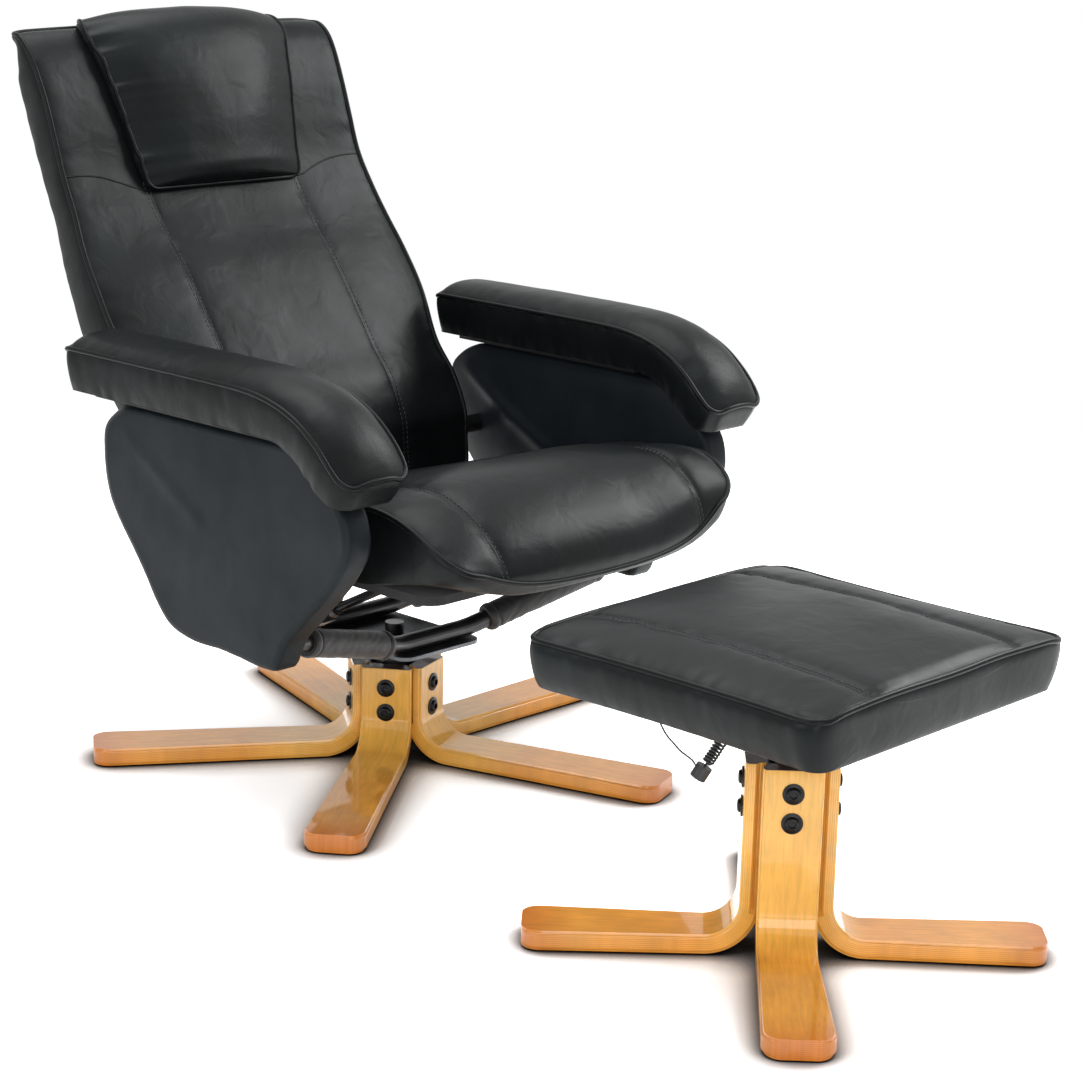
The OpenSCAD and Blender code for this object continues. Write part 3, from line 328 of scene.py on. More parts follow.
@dataclass(frozen=True)
class BentPly:
    """Moulded birch plywood, stained amber under a gloss lacquer.

    The veneer's figure runs along the leg and the edges show the plies as thin dark glue lines.
    The colour deepens from the upright to the tip: partly a deeper amber, partly painted shade on
    the lower foot, and the top end is drawn dark brown. It reads what the leg's maker writes: the
    grain map (along and across, in metres), ply (metres through its thickness), share and seed.
    """

    name: str = "bent_birch_plywood_amber_gloss_lacquer"
    upright: str = "#f8bb54"
    foot: str = "#eda03c"
    tip: str = "#cd7620"
    glue: str = "#8c5623"
    top_end_dark: str = "#3a2213"
    ply_mm: float = 2.4
    figure_mm: float = 4.5
    cloud_mm: float = 45.0
    fleck_mm: float = 9.0
    stretch: float = 0.09

    def make(self) -> bpy.types.Material:
        """Builds the material."""
        material, g = new_material(self.name)
        grain = g.node("ShaderNodeUVMap", {"uv_map": "grain"})["UV"]
        split = g.node("ShaderNodeSeparateXYZ", inputs={"Vector": grain})
        at = g.joined(X=split["X"], Y=split["Y"], Z=g.attribute("seed"))
        drawn = g.node("ShaderNodeMapping", inputs={
            "Vector": at, "Scale": (self.stretch, 1.0, 1.0)})["Vector"]
        figure = g.noise(drawn, self.figure_mm, Detail=4.0, Roughness=0.6, Distortion=0.5)
        cloud = g.noise(at, self.cloud_mm, Detail=2.0)
        fleck = g.cells(drawn, self.fleck_mm, Randomness=1.0)
        plies = g.node("ShaderNodeTexWave", {
            "wave_type": "BANDS", "bands_direction": "X", "wave_profile": "SAW"}, {
            "Vector": g.joined(X=g.attribute("ply")), "Distortion": 0.0,
            "Scale": per_mm(self.ply_mm) * math.pi / 10})["Fac"]
        # Colour from the upright to the tip: partly a deeper amber, partly painted shade on the foot and
        # tip.
        stain_and_painted_shade = g.ramp(g.attribute("share"), [
            (0.0, self.upright), (0.38, self.upright), (0.55, self.foot), (0.85, self.foot),
            (1.0, self.tip)])
        tone = g.maths("MULTIPLY", g.maths(
            "MULTIPLY", g.ranged(figure, 0.32, 0.72, 0.86, 1.1), g.ranged(cloud, 0.3, 0.75, 0.9, 1.08)),
            g.ranged(fleck, 0.04, 0.09, 0.8, 1.0))
        shaded = g.node("ShaderNodeVectorMath", {"operation": "SCALE"}, {
            0: stain_and_painted_shade, "Scale": tone})["Vector"]
        lined = g.painted(g.ranged(plies, 0.8, 0.97, 0.0, 0.75), shaded, self.glue)
        g.surface({
            # The leg's top end face is drawn dark brown.
            "Base Color": g.painted(g.ranged(split["X"], 0.0002, 0.0009, 1.0, 0.0), lined,
                                    self.top_end_dark),
            "Roughness": 0.42, "Normal": g.bump(figure, 0.25, 0.0001), "Specular IOR Level": 0.15,
            "Coat Weight": 0.9, "Coat Roughness": 0.05, "IOR": 1.5})
        return material


@dataclass(frozen=True)
class Metal:
    """Steel, painted or bright, with the fine unevenness of its surface."""

    name: str
    colour: str
    worn: str
    metallic: float
    roughness: float
    speck_mm: float = 6.0
    patch_mm: float = 40.0
    bump: float = 0.00008
    coat: float = 0.0

    def make(self) -> bpy.types.Material:
        """Builds the material."""
        material, g = new_material(self.name)
        at = g.place()
        speck = g.noise(at, self.speck_mm, Detail=4.0, Roughness=0.6)
        patch = g.noise(at, self.patch_mm, Detail=2.0)
        g.surface({
            "Base Color": g.ramp(patch, [(0.35, self.colour), (0.75, self.worn)]),
            "Metallic": self.metallic, "Normal": g.bump(speck, 0.5, self.bump),
            "Roughness": g.ranged(speck, 0.3, 0.7, self.roughness - 0.05, self.roughness + 0.07),
            "Coat Weight": self.coat, "Coat Roughness": 0.2})
        return material


@dataclass(frozen=True)
class Cloth:
    """Spun-bonded or woven black cloth, as dust covers and tube sleeves are made of."""

    name: str
    dark: str = "#0c0c0d"
    light: str = "#19191b"
    thread_mm: float = 1.6
    thread_depth: float = 0.0002
    fold_mm: float = 14.0
    fold_depth: float = 0.0012
    roughness: float = 0.8

    def make(self) -> bpy.types.Material:
        """Builds the material."""
        material, g = new_material(self.name)
        at = g.place()
        thread = g.cells(at, self.thread_mm, {"feature": "F1", "distance": "CHEBYCHEV"},
                         Randomness=0.35)
        fold = g.noise(at, self.fold_mm, Detail=2.0, Distortion=1.0)
        g.surface({
            "Base Color": g.ramp(thread, [(0.1, self.light), (0.6, self.dark)]),
            "Roughness": self.roughness, "Sheen Weight": 0.25, "Sheen Roughness": 0.5,
            "Normal": g.bump(thread, 0.5, self.thread_depth, g.bump(fold, 0.8, self.fold_depth),
                             {"invert": True})})
        return material


@dataclass(frozen=True)
class Moulded:
    """Moulded plastic, rubber or thread: a soft sheen over a fine texture."""

    name: str
    colour: str
    light: str
    roughness: float
    grit_mm: float = 1.5
    grit_depth: float = 0.00008

    def make(self) -> bpy.types.Material:
        """Builds the material."""
        material, g = new_material(self.name)
        grit = g.noise(g.place(), self.grit_mm, Detail=3.0)
        g.surface({
            "Base Color": g.ramp(grit, [(0.3, self.colour), (0.75, self.light)]),
            "Roughness": self.roughness, "Normal": g.bump(grit, 0.3, self.grit_depth)})
        return material


class Finish(Enum):
    """Every finish on the chair and its stool."""

    LEATHER = Leather("black_coated_leather_pebble_grain")
    PANEL_LEATHER = Leather("black_coated_leather_flat_stretched", dark="#12171a", light="#1c2226",
                            roughness=0.42, slack_mm=70.0, slack_depth=0.0012)
    # The piping's leather is drawn darker than the cushions' own leather: painted shade for the dark
    # line along each seam.
    PIPING = Leather("black_coated_leather_piping", dark="#08090a", light="#0f1112", roughness=0.34,
                     slack_mm=9.0, slack_depth=0.0003)
    PLY = BentPly()
    BLACK_STEEL = Metal("black_powder_coated_steel", "#0c0c0d", "#161618", 0.2, 0.36, coat=0.3)
    SCREW_STEEL = Metal("black_oxide_screw_steel", "#0b0b0d", "#17171a", 0.6, 0.3, speck_mm=3.0)
    PLATE_STEEL = Metal("grey_phosphated_steel_plate", "#4b4d50", "#6c6f72", 0.85, 0.4)
    ZINC = Metal("bright_zinc_plated_steel", "#a9adb2", "#cfd2d6", 0.95, 0.28, speck_mm=3.0)
    SLEEVE = Cloth("black_crinkled_sleeve_cloth", dark="#060607", light="#0d0d0f", fold_mm=26.0,
                   fold_depth=0.0005, roughness=0.6)
    DARK_ROD = Metal("black_anodised_rod", "#0b0b0c", "#141416", 0.3, 0.3)
    DUST_COVER = Cloth("black_spun_bonded_dust_cover", fold_depth=0.0004, fold_mm=30.0)
    PLASTIC = Moulded("black_moulded_plastic", "#101012", "#1a1a1c", 0.5)
    NYLON = Moulded("white_nylon_washer", "#c9c8c0", "#dad9d2", 0.45)
    RUBBER = Moulded("black_rubber_cord", "#0b0b0c", "#161617", 0.42)
    THREAD = Moulded("black_polyester_thread", "#16191a", "#2b3031", 0.5, grit_mm=0.8)


MADE: dict[Finish, bpy.types.Material] = {}


def finish_of(kind: Finish) -> bpy.types.Material:
    """Gives the material of a finish, built on its first use.

    Args:
        kind: The finish.

    Returns:
        Its material.
    """
    if kind not in MADE:
        MADE[kind] = kind.value.make()
    return MADE[kind]


def make_object(name: str, points: np.ndarray, faces: Sequence[Sequence[int]],
                sharp: float = 40.0) -> bpy.types.Object:
    """Makes a smooth-shaded mesh object from points in millimetres.

    Args:
        name: The object's name.
        points: Points in the row frame, in millimetres.
        faces: Corner numbers of each face.
        sharp: Edges that turn by more than this many degrees stay sharp.

    Returns:
        The new object, with its faces turned outwards.
    """
    points = np.asarray(points, float) * MM
    a, b, c = (np.array([points[f[k]] for f in faces]) for k in (0, 1, 2))
    volume = np.einsum("ij,ij->i", a, np.cross(b, c)).sum()
    quads = [f for f in faces if len(f) == 4]
    if quads:
        a, b, c = (np.array([points[f[k]] for f in quads]) for k in (0, 2, 3))
        volume += np.einsum("ij,ij->i", a, np.cross(b, c)).sum()
    if volume < 0:
        faces = [tuple(reversed(f)) for f in faces]
    mesh = bpy.data.meshes.new(name)
    mesh.from_pydata(points.tolist(), [], [tuple(int(i) for i in f) for f in faces])
    mesh.update()
    obj = bpy.data.objects.new(name, mesh)
    bpy.context.scene.collection.objects.link(obj)
    shade(obj, sharp)
    return obj


def shade(obj: bpy.types.Object, sharp: float) -> None:
    """Shades a mesh smooth, but keeps edges sharp that turn by more than sharp degrees."""
    obj.data.shade_smooth()
    obj.data.set_sharp_from_angle(angle=math.radians(sharp))


def dress(obj: bpy.types.Object, body: str, finish: Finish,
          replaces: Sequence[str] = ()) -> bpy.types.Object:
    """Gives a piece its finish, its body and the nodes it stands for.

    Args:
        obj: The piece.
        body: The CAD body it rides on.
        finish: Its finish.
        replaces: CAD nodes that it stands for.

    Returns:
        The same piece.
    """
    obj.data.materials.clear()
    obj.data.materials.append(finish_of(finish))
    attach(obj, body)
    if replaces:
        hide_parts(*replaces)
    LOG.info("piece %s on %s: %d faces", obj.name, body, len(obj.data.polygons))
    return obj


def spline(rows: np.ndarray, at: np.ndarray) -> np.ndarray:
    """Runs a smooth curve through rows of values that lie at the places 0, 1, 2 and so on.

    Args:
        rows: One row of values for each place.
        at: The places to read.

    Returns:
        A row of values for each place that was asked.
    """
    rows = np.asarray(rows, float)
    at = np.clip(np.asarray(at, float), 0, len(rows) - 1)
    i = np.minimum(at.astype(int), len(rows) - 2)
    t = (at - i)[:, None]
    before = rows[np.maximum(i - 1, 0)]
    a, b = rows[i], rows[i + 1]
    after = rows[np.minimum(i + 2, len(rows) - 1)]
    return 0.5 * (2 * a + (b - before) * t + (2 * before - 5 * a + 4 * b - after) * t ** 2
                  + (3 * a - before - 3 * b + after) * t ** 3)


def even(points: np.ndarray, spacing: float) -> np.ndarray:
    """Spaces points evenly round a loop.

    Args:
        points: The loop's points.
        spacing: The distance wanted between points.

    Returns:
        Points about that far apart.
    """
    points = np.vstack([points, points[:1]])
    run = run_along(points)
    wanted = np.linspace(0, run[-1], max(4, int(round(run[-1] / spacing))) + 1)[:-1]
    return np.stack([np.interp(wanted, run, points[:, k]) for k in range(points.shape[1])], 1)


def run_along(points: np.ndarray) -> np.ndarray:
    """Gives how far along a line each of its points lies."""
    return np.r_[0, np.cumsum(np.linalg.norm(np.diff(points, axis=0), axis=1))]


def soften(points: np.ndarray, rounds: int) -> np.ndarray:
    """Rounds the corners of a loop by averaging each point with its neighbours."""
    for _ in range(rounds):
        near = (np.roll(points, 1, 0) + np.roll(points, -1, 0)) / 2
        points = (points + near) / 2
    return points


def wave(seed: float, at: np.ndarray, size: float) -> np.ndarray:
    """Gives smooth noise from about -1 to 1 along a line.

    Args:
        seed: Which noise to read.
        at: Places along the line, in millimetres.
        size: The length of its waves, in millimetres.

    Returns:
        One value for each place.
    """
    row = [seed * step for step in SEED_STEPS]
    return np.array([noise.noise(Vector((float(a) / size, *row))) for a in at]) * WAVE_GAIN


def grid_faces(rows: int, columns: int, looped: bool = False) -> list[tuple[int, ...]]:
    """Joins rings of points into quads.

    Args:
        rows: How many rings there are.
        columns: How many points a ring has.
        looped: Whether the last ring joins the first.

    Returns:
        The faces.
    """
    faces = []
    for i in range(rows if looped else rows - 1):
        here, after = i * columns, (i + 1) % rows * columns
        for j in range(columns):
            k = (j + 1) % columns
            faces.append((here + j, after + j, after + k, here + k))
    return faces


def fan(first: int, count: int, tip: int, turned: bool = False) -> list[tuple[int, ...]]:
    """Closes a ring of points with triangles that meet in one point.

    Args:
        first: The ring's first point.
        count: How many points it has.
        tip: The point where the triangles meet.
        turned: Whether they face the other way.

    Returns:
        The triangles.
    """
    pairs = [(first + j, first + (j + 1) % count) for j in range(count)]
    return [(b, a, tip) if turned else (a, b, tip) for a, b in pairs]


def frames_along(points: np.ndarray) -> tuple[np.ndarray, np.ndarray]:
    """Finds two cross directions at each point of a line that don't twist along it.

    Args:
        points: The line's points.

    Returns:
        The two directions for each point.
    """
    ahead = np.roll(points, -1, 0) - np.roll(points, 1, 0)
    ahead[0], ahead[-1] = points[1] - points[0], points[-1] - points[-2]
    ahead /= np.linalg.norm(ahead, axis=1)[:, None]
    first = np.cross(ahead[0], OFF_AXIS)
    e = [first / np.linalg.norm(first)]
    for k in range(1, len(points)):
        v = e[-1] - ahead[k] * float(e[-1] @ ahead[k])
        e.append(v / np.linalg.norm(v))
    e = np.array(e)
    return e, np.cross(ahead, e)


def circle(sides: int) -> np.ndarray:
    """Gives the angles of a ring's points."""
    return np.arange(sides) * 2 * math.pi / sides


def tube(name: str, points: np.ndarray, radius: float, sides: int) -> bpy.types.Object:
    """Makes a tube along a line, closed at both ends.

    Args:
        name: The object's name.
        points: The line, in millimetres.
        radius: Its radius.
        sides: How many sides it has.

    Returns:
        The tube.
    """
    e, f = frames_along(points)
    turn = circle(sides)
    ring = (points[:, None, :] + radius * (np.cos(turn)[None, :, None] * e[:, None, :]
                                           + np.sin(turn)[None, :, None] * f[:, None, :]))
    flat = np.vstack([ring.reshape(-1, 3), points[:1], points[-1:]])
    last = (len(points) - 1) * sides
    faces = grid_faces(len(points), sides)
    faces += fan(0, sides, len(flat) - 2) + fan(last, sides, len(flat) - 1, True)
    return make_object(name, flat, faces, 60)


def line_object(name: str, lines: Sequence[np.ndarray], closed: bool) -> bpy.types.Object:
    """Makes a curve object of straight-sided lines for a Geometry Nodes tree to follow.

    Args:
        name: The object's name.
        lines: Each line's points, in millimetres.
        closed: Whether the lines are loops.

    Returns:
        The curve object.
    """
    curve = bpy.data.curves.new(name, "CURVE")
    curve.dimensions = "3D"
    for line in lines:
        run = curve.splines.new("POLY")
        run.points.add(len(line) - 1)
        flat = np.c_[np.asarray(line, float) * MM, np.ones(len(line))]
        run.points.foreach_set("co", flat.ravel())
        run.use_cyclic_u = closed
    obj = bpy.data.objects.new(name, curve)
    bpy.context.scene.collection.objects.link(obj)
    return obj


class NodeMaker:
    """Geometry Nodes trees for what follows a seam or repeats on a ring."""

    def __init__(self) -> None:
        """Builds each tree once."""
        self.piping = self._piping()
        self.stitches = self._stitches()
        self.copies = self._copies()

    @staticmethod
    def _start(name: str, *sockets: tuple[str, str, float | None]) -> tuple[Graph, Outputs]:
        """Starts a tree with a geometry input and output.

        Args:
            name: The tree's name.
            *sockets: Name, kind and default of each further input.

        Returns:
            The tree's graph, and the sockets of what it is given.
        """
        tree = bpy.data.node_groups.new(name, "GeometryNodeTree")
        for way in ("INPUT", "OUTPUT"):
            tree.interface.new_socket("Geometry", in_out=way, socket_type="NodeSocketGeometry")
        for label, kind, value in sockets:
            socket = tree.interface.new_socket(label, in_out="INPUT", socket_type="NodeSocket" + kind)
            if value is not None:
                socket.default_value = value
        g = Graph(tree)
        return g, g.node("NodeGroupInput")

    def _piping(self) -> bpy.types.NodeTree:
        """Sweeps a round cord along a seam."""
        g, given = self._start("piping_along_seam", ("Radius", "Float", 0.003), ("Sides", "Int", 10),
                               ("Spacing", "Float", 0.004), ("Finish", "Material", None))
        spaced = g.node("GeometryNodeResampleCurve", {"mode": "LENGTH"}, {
            "Curve": given["Geometry"], "Length": given["Spacing"]})["Curve"]
        section = g.node("GeometryNodeCurvePrimitiveCircle", inputs={
            "Resolution": given["Sides"], "Radius": given["Radius"]})["Curve"]
        return self._end(g, given, g.node("GeometryNodeCurveToMesh", inputs={
            "Curve": spaced, "Profile Curve": section, "Fill Caps": True})["Mesh"])

    def _stitches(self) -> bpy.types.NodeTree:
        """Lays one short thread after another along a seam."""
        g, given = self._start("stitches_along_seam", ("Pitch", "Float", 0.006),
                               ("Stitch", "Float", 0.0045), ("Thread", "Float", 0.0006),
                               ("Finish", "Material", None))
        spaced = g.node("GeometryNodeResampleCurve", {"mode": "LENGTH"}, {
            "Curve": given["Geometry"], "Length": given["Pitch"]})["Curve"]
        points = g.node("GeometryNodeCurveToPoints", {"mode": "EVALUATED"}, {"Curve": spaced})
        ball = g.node("GeometryNodeMeshUVSphere", inputs={
            "Segments": 6, "Rings": 5, "Radius": 0.5})["Mesh"]
        size = g.joined(X=given["Thread"], Y=given["Thread"], Z=given["Stitch"])
        double = g.node("ShaderNodeVectorMath", {"operation": "MULTIPLY"}, {
            0: size, 1: (2.0, 2.0, 1.0)})["Vector"]
        return self._end(g, given, g.node("GeometryNodeInstanceOnPoints", inputs={
            "Points": points["Points"], "Instance": ball, "Rotation": points["Rotation"],
            "Scale": double})["Instances"])

    def _copies(self) -> bpy.types.NodeTree:
        """Sets one fastener on each point, turned to the point's own direction."""
        g, given = self._start("fasteners_on_points", ("Fastener", "Object", None),
                               ("Finish", "Material", None))
        fastener = g.node("GeometryNodeObjectInfo", inputs={
            "Object": given["Fastener"], "As Instance": True})["Geometry"]
        facing = g.node("GeometryNodeInputNamedAttribute", {"data_type": "FLOAT_VECTOR"}, {
            "Name": "facing"})["Attribute"]
        turn = g.node("FunctionNodeAlignRotationToVector", {"axis": "Z"}, {
            "Vector": facing})["Rotation"]
        return self._end(g, given, g.node("GeometryNodeInstanceOnPoints", inputs={
            "Points": given["Geometry"], "Instance": fastener, "Rotation": turn})["Instances"])

    @staticmethod
    def _end(g: Graph, given: Outputs, result: Socket) -> bpy.types.NodeTree:
        """Ends a tree in Realize Instances, smooth shading and Set Material."""
        real = g.node("GeometryNodeRealizeInstances", inputs={"Geometry": result})["Geometry"]
        smooth = g.node("GeometryNodeSetShadeSmooth", inputs={"Geometry": real})["Geometry"]
        made = g.node("GeometryNodeSetMaterial", inputs={
            "Geometry": smooth, "Material": given["Finish"]})["Geometry"]
        g.node("NodeGroupOutput", inputs={"Geometry": made})
        return g.tree

    def run(self, name: str, base: bpy.types.Object, tree: bpy.types.NodeTree,
            values: dict[str, object]) -> bpy.types.Object:
        """Runs a tree on a base object and turns the result into a plain mesh.

        Args:
            name: The new piece's name.
            base: The object the tree starts from, which is removed.
            tree: The tree.
            values: Input names and their values.

        Returns:
            The new piece.
        """
        modifier = base.modifiers.new("nodes", "NODES")
        modifier.node_group = tree
        sockets = {s.name: s.identifier for s in tree.interface.items_tree
                   if s.item_type == "SOCKET" and s.in_out == "INPUT"}
        for label, value in values.items():
            modifier[sockets[label]] = value
        base.update_tag()
        bpy.context.view_layer.update()
        ready = base.evaluated_get(bpy.context.evaluated_depsgraph_get())
        mesh = bpy.data.meshes.new_from_object(ready)
        bpy.data.objects.remove(base)
        mesh.name = name
        obj = bpy.data.objects.new(name, mesh)
        bpy.context.scene.collection.objects.link(obj)
        return obj


class Sewing:
    """Piping and topstitching, made along lines that the cushions give."""

    cord_sides = 12
    cord_spacing = 4.0
    pitch = 7.0
    stitch_share = 0.76
    thread = 0.6

    def __init__(self, maker: NodeMaker) -> None:
        """Keeps the node trees."""
        self.maker = maker

    def piping(self, name: str, line: np.ndarray, body: str, radius: float,
               closed: bool = True) -> bpy.types.Object:
        """Sews a piping cord along a seam.

        Args:
            name: The piece's name.
            line: The seam, in millimetres.
            body: The body it rides on.
            radius: The cord's radius in millimetres.
            closed: Whether the seam is a loop.

        Returns:
            The piping.
        """
        base = line_object(name, [line], closed)
        piece = self.maker.run(name, base, self.maker.piping, {
            "Radius": radius * MM, "Sides": self.cord_sides, "Spacing": self.cord_spacing * MM,
            "Finish": finish_of(Finish.PIPING)})
        return dress(piece, body, Finish.PIPING)

    def stitches(self, name: str, lines: Sequence[np.ndarray], body: str) -> bpy.types.Object:
        """Sews rows of topstitches.

        Args:
            name: The piece's name.
            lines: One line for each row, in millimetres.
            body: The body it rides on.

        Returns:
            All the stitches as one piece.
        """
        base = line_object(name, lines, False)
        piece = self.maker.run(name, base, self.maker.stitches, {
            "Pitch": self.pitch * MM, "Stitch": self.stitch_share * self.pitch * MM,
            "Thread": self.thread * MM, "Finish": finish_of(Finish.THREAD)})
        return dress(piece, body, Finish.THREAD)


@dataclass(frozen=True)
class Camera:
    """The photograph's camera, found from the outlines of the chair and stool."""

    place: tuple[float, float, float] = (-2.43589, -2.56240, 1.23452)
    yaw: float = 46.8038
    pitch: float = 14.7204
    roll: float = 1.43577
    focal_px: float = 2648.886
    sensor_mm: float = 36.0
    width_px: float = 1082.0
    height_px: float = 1080.0
    centre_px: tuple[float, float] = (541.0, 540.0)
    clip: tuple[float, float] = (0.05, 80.0)

    def make(self) -> bpy.types.Object:
        """Builds the camera.

        Returns:
            The scene's camera.
        """
        yaw, pitch, roll = (math.radians(v) for v in (self.yaw, self.pitch, self.roll))
        ahead = Vector((math.sin(yaw) * math.cos(pitch), math.cos(yaw) * math.cos(pitch),
                        -math.sin(pitch)))
        right = Vector((math.cos(yaw), -math.sin(yaw), 0.0))
        up = right.cross(ahead)
        tilted_right = math.cos(roll) * right + math.sin(roll) * up
        tilted_up = math.cos(roll) * up - math.sin(roll) * right
        data = bpy.data.cameras.new("camera")
        data.sensor_fit = "HORIZONTAL"
        data.sensor_width = self.sensor_mm
        data.lens = self.focal_px * self.sensor_mm / self.width_px
        data.shift_x = (self.width_px / 2 - self.centre_px[0]) / self.width_px
        data.shift_y = (self.centre_px[1] - self.height_px / 2) / self.width_px
        data.clip_start, data.clip_end = self.clip
        data.dof.use_dof = False
        camera = bpy.data.objects.new("camera", data)
        camera.matrix_world = Matrix((
            (tilted_right.x, tilted_up.x, -ahead.x, self.place[0]),
            (tilted_right.y, tilted_up.y, -ahead.y, self.place[1]),
            (tilted_right.z, tilted_up.z, -ahead.z, self.place[2]), (0, 0, 0, 1)))
        bpy.context.scene.collection.objects.link(camera)
        bpy.context.scene.camera = camera
        return camera


@dataclass(frozen=True)
class Softbox:
    """One soft studio lamp."""

    name: str
    place: tuple[float, float, float]
    target: tuple[float, float, float]
    size: tuple[float, float]
    power: float


class Studio:
    """The white studio: world, floor and soft lamps."""

    world_fill = 0.4
    floor_grey = 0.9
    floor_seen = 2.0
    # Reach and strength of the painted contact shadow: ambient occlusion darkens the floor next to the
    # feet.
    painted_contact_shadow_reach = 0.06
    painted_contact_shadow_power = 3.2
    floor_near = 1.5
    floor_far = 2.6
    floor_half = 14.0
    floor_z = -0.0002
    boxes = (
        Softbox("softbox_above", (0.1, 0.3, 3.0), (0.0, -0.2, 0.2), (2.0, 2.0), 56.0),
        Softbox("softbox_left", (-2.9, -0.2, 1.9), (0.0, -0.1, 0.5), (1.3, 1.9), 34.0),
        Softbox("softbox_right", (2.2, -1.1, 2.3), (0.0, -0.2, 0.6), (1.4, 1.2), 60.0),
        Softbox("softbox_front", (-2.0, -3.2, 1.0), (0.0, -0.5, 0.2), (1.8, 1.6), 34.0),
    )

    def make(self) -> None:
        """Builds the world, the floor and the lamps."""
        bpy.context.scene.view_settings.view_transform = "Standard"
        self._world()
        self._floor()
        for box in self.boxes:
            data = bpy.data.lights.new(box.name, "AREA")
            data.shape = "RECTANGLE"
            data.size, data.size_y = box.size
            data.energy = box.power
            lamp = bpy.data.objects.new(box.name, data)
            lamp.location = box.place
            lamp.rotation_euler = (Vector(box.target) - Vector(box.place)).to_track_quat(
                "-Z", "Y").to_euler()
            bpy.context.scene.collection.objects.link(lamp)
            lamp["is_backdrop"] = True

    def _world(self) -> None:
        """Makes a world that the camera sees as white and that lights the scene softly."""
        world = bpy.data.worlds.new("white_studio")
        world.use_nodes = True
        bpy.context.scene.world = world
        g = Graph(world.node_tree)
        seen = self._seen_directly(g)
        up = g.node("ShaderNodeSeparateXYZ", inputs={
            "Vector": g.node("ShaderNodeTexCoord")["Generated"]})["Z"]
        fill = g.ranged(up, -0.1, 0.9, 0.75 * self.world_fill, 1.15 * self.world_fill)
        g.surface({"Color": WHITE, "Strength": g.chosen(seen, fill, 1.0)},
                  "ShaderNodeBackground", "ShaderNodeOutputWorld")

    @staticmethod
    def _seen_directly(g: Graph) -> Socket:
        """Gives 1 where the camera, a reflection or clear material shows the background."""
        path = g.node("ShaderNodeLightPath")
        return g.maths("MAXIMUM", g.maths("MAXIMUM", path["Is Camera Ray"], path["Is Glossy Ray"]),
                       path["Is Transmission Ray"])

    def _floor(self) -> None:
        """Makes a pale floor that keeps the shadow, with a painted contact shadow from ambient occlusion
        next to the feet, and turns into the white backdrop far away.
        """
        material, g = new_material("pale_studio_floor")
        far = g.node("ShaderNodeVectorMath", {"operation": "LENGTH"}, {0: g.place()})["Value"]
        share = g.ranged(far, self.floor_near, self.floor_far, 0.0, 1.0)
        # Painted contact shadow: the floor that the camera sees is darkened where ambient occlusion
        # finds the legs close by.
        open_sky = g.node("ShaderNodeAmbientOcclusion", {"samples": 8}, {
            "Distance": self.painted_contact_shadow_reach})["AO"]
        shown = g.maths("MULTIPLY", g.maths("POWER", open_sky, self.painted_contact_shadow_power), self.floor_seen)
        pale = g.chosen(self._seen_directly(g), self.floor_grey, shown)
        near = g.node("ShaderNodeBsdfDiffuse", inputs={"Color": pale})["BSDF"]
        white = g.node("ShaderNodeEmission", inputs={"Color": WHITE, "Strength": 1.0})["Emission"]
        g.surface({"Fac": share, 1: near, 2: white}, "ShaderNodeMixShader")
        half = self.floor_half
        mesh = bpy.data.meshes.new("floor")
        mesh.from_pydata([(-half, -half, 0), (half, -half, 0), (half, half, 0), (-half, half, 0)],
                         [], [(0, 1, 2, 3)])
        floor = bpy.data.objects.new("floor", mesh)
        floor.location.z = self.floor_z
        mesh.materials.append(material)
        bpy.context.scene.collection.objects.link(floor)
        floor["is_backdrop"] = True


@dataclass(frozen=True)
class CurlSizes:
    """Sizes of the stool's curly cord and of its thin lead, in millimetres."""

    body: str = "stool_pad"
    plug_at: tuple[float, float, float] = (-110.0, 42.0, 231.0)
    plug_to_cord: tuple[float, float, float] = (0.35, -0.35, 0.869)
    plug_l: float = 16.0
    coil_d: float = 14.5
    strand_d: float = 2.6
    turns: int = 15
    tight: float = 0.66
    lead_in: float = 0.045
    bend: tuple[float, float, float] = (-93.0, 21.0, 275.0)
    top: tuple[float, float, float] = (-90.0, 15.0, 299.1)
    lead_d: float = 2.0
    lead_route: tuple[tuple[float, float, float], ...] = (
        (-145, 78, 300.1), (-145, 78, 296), (-144, 77, 290), (-141, 74, 281), (-137, 70, 272),
        (-132, 65, 264), (-127, 60, 256), (-122, 54, 250), (-117.5, 49.5, 245), (-115.5, 47.5, 241),
        (-113, 45, 236))


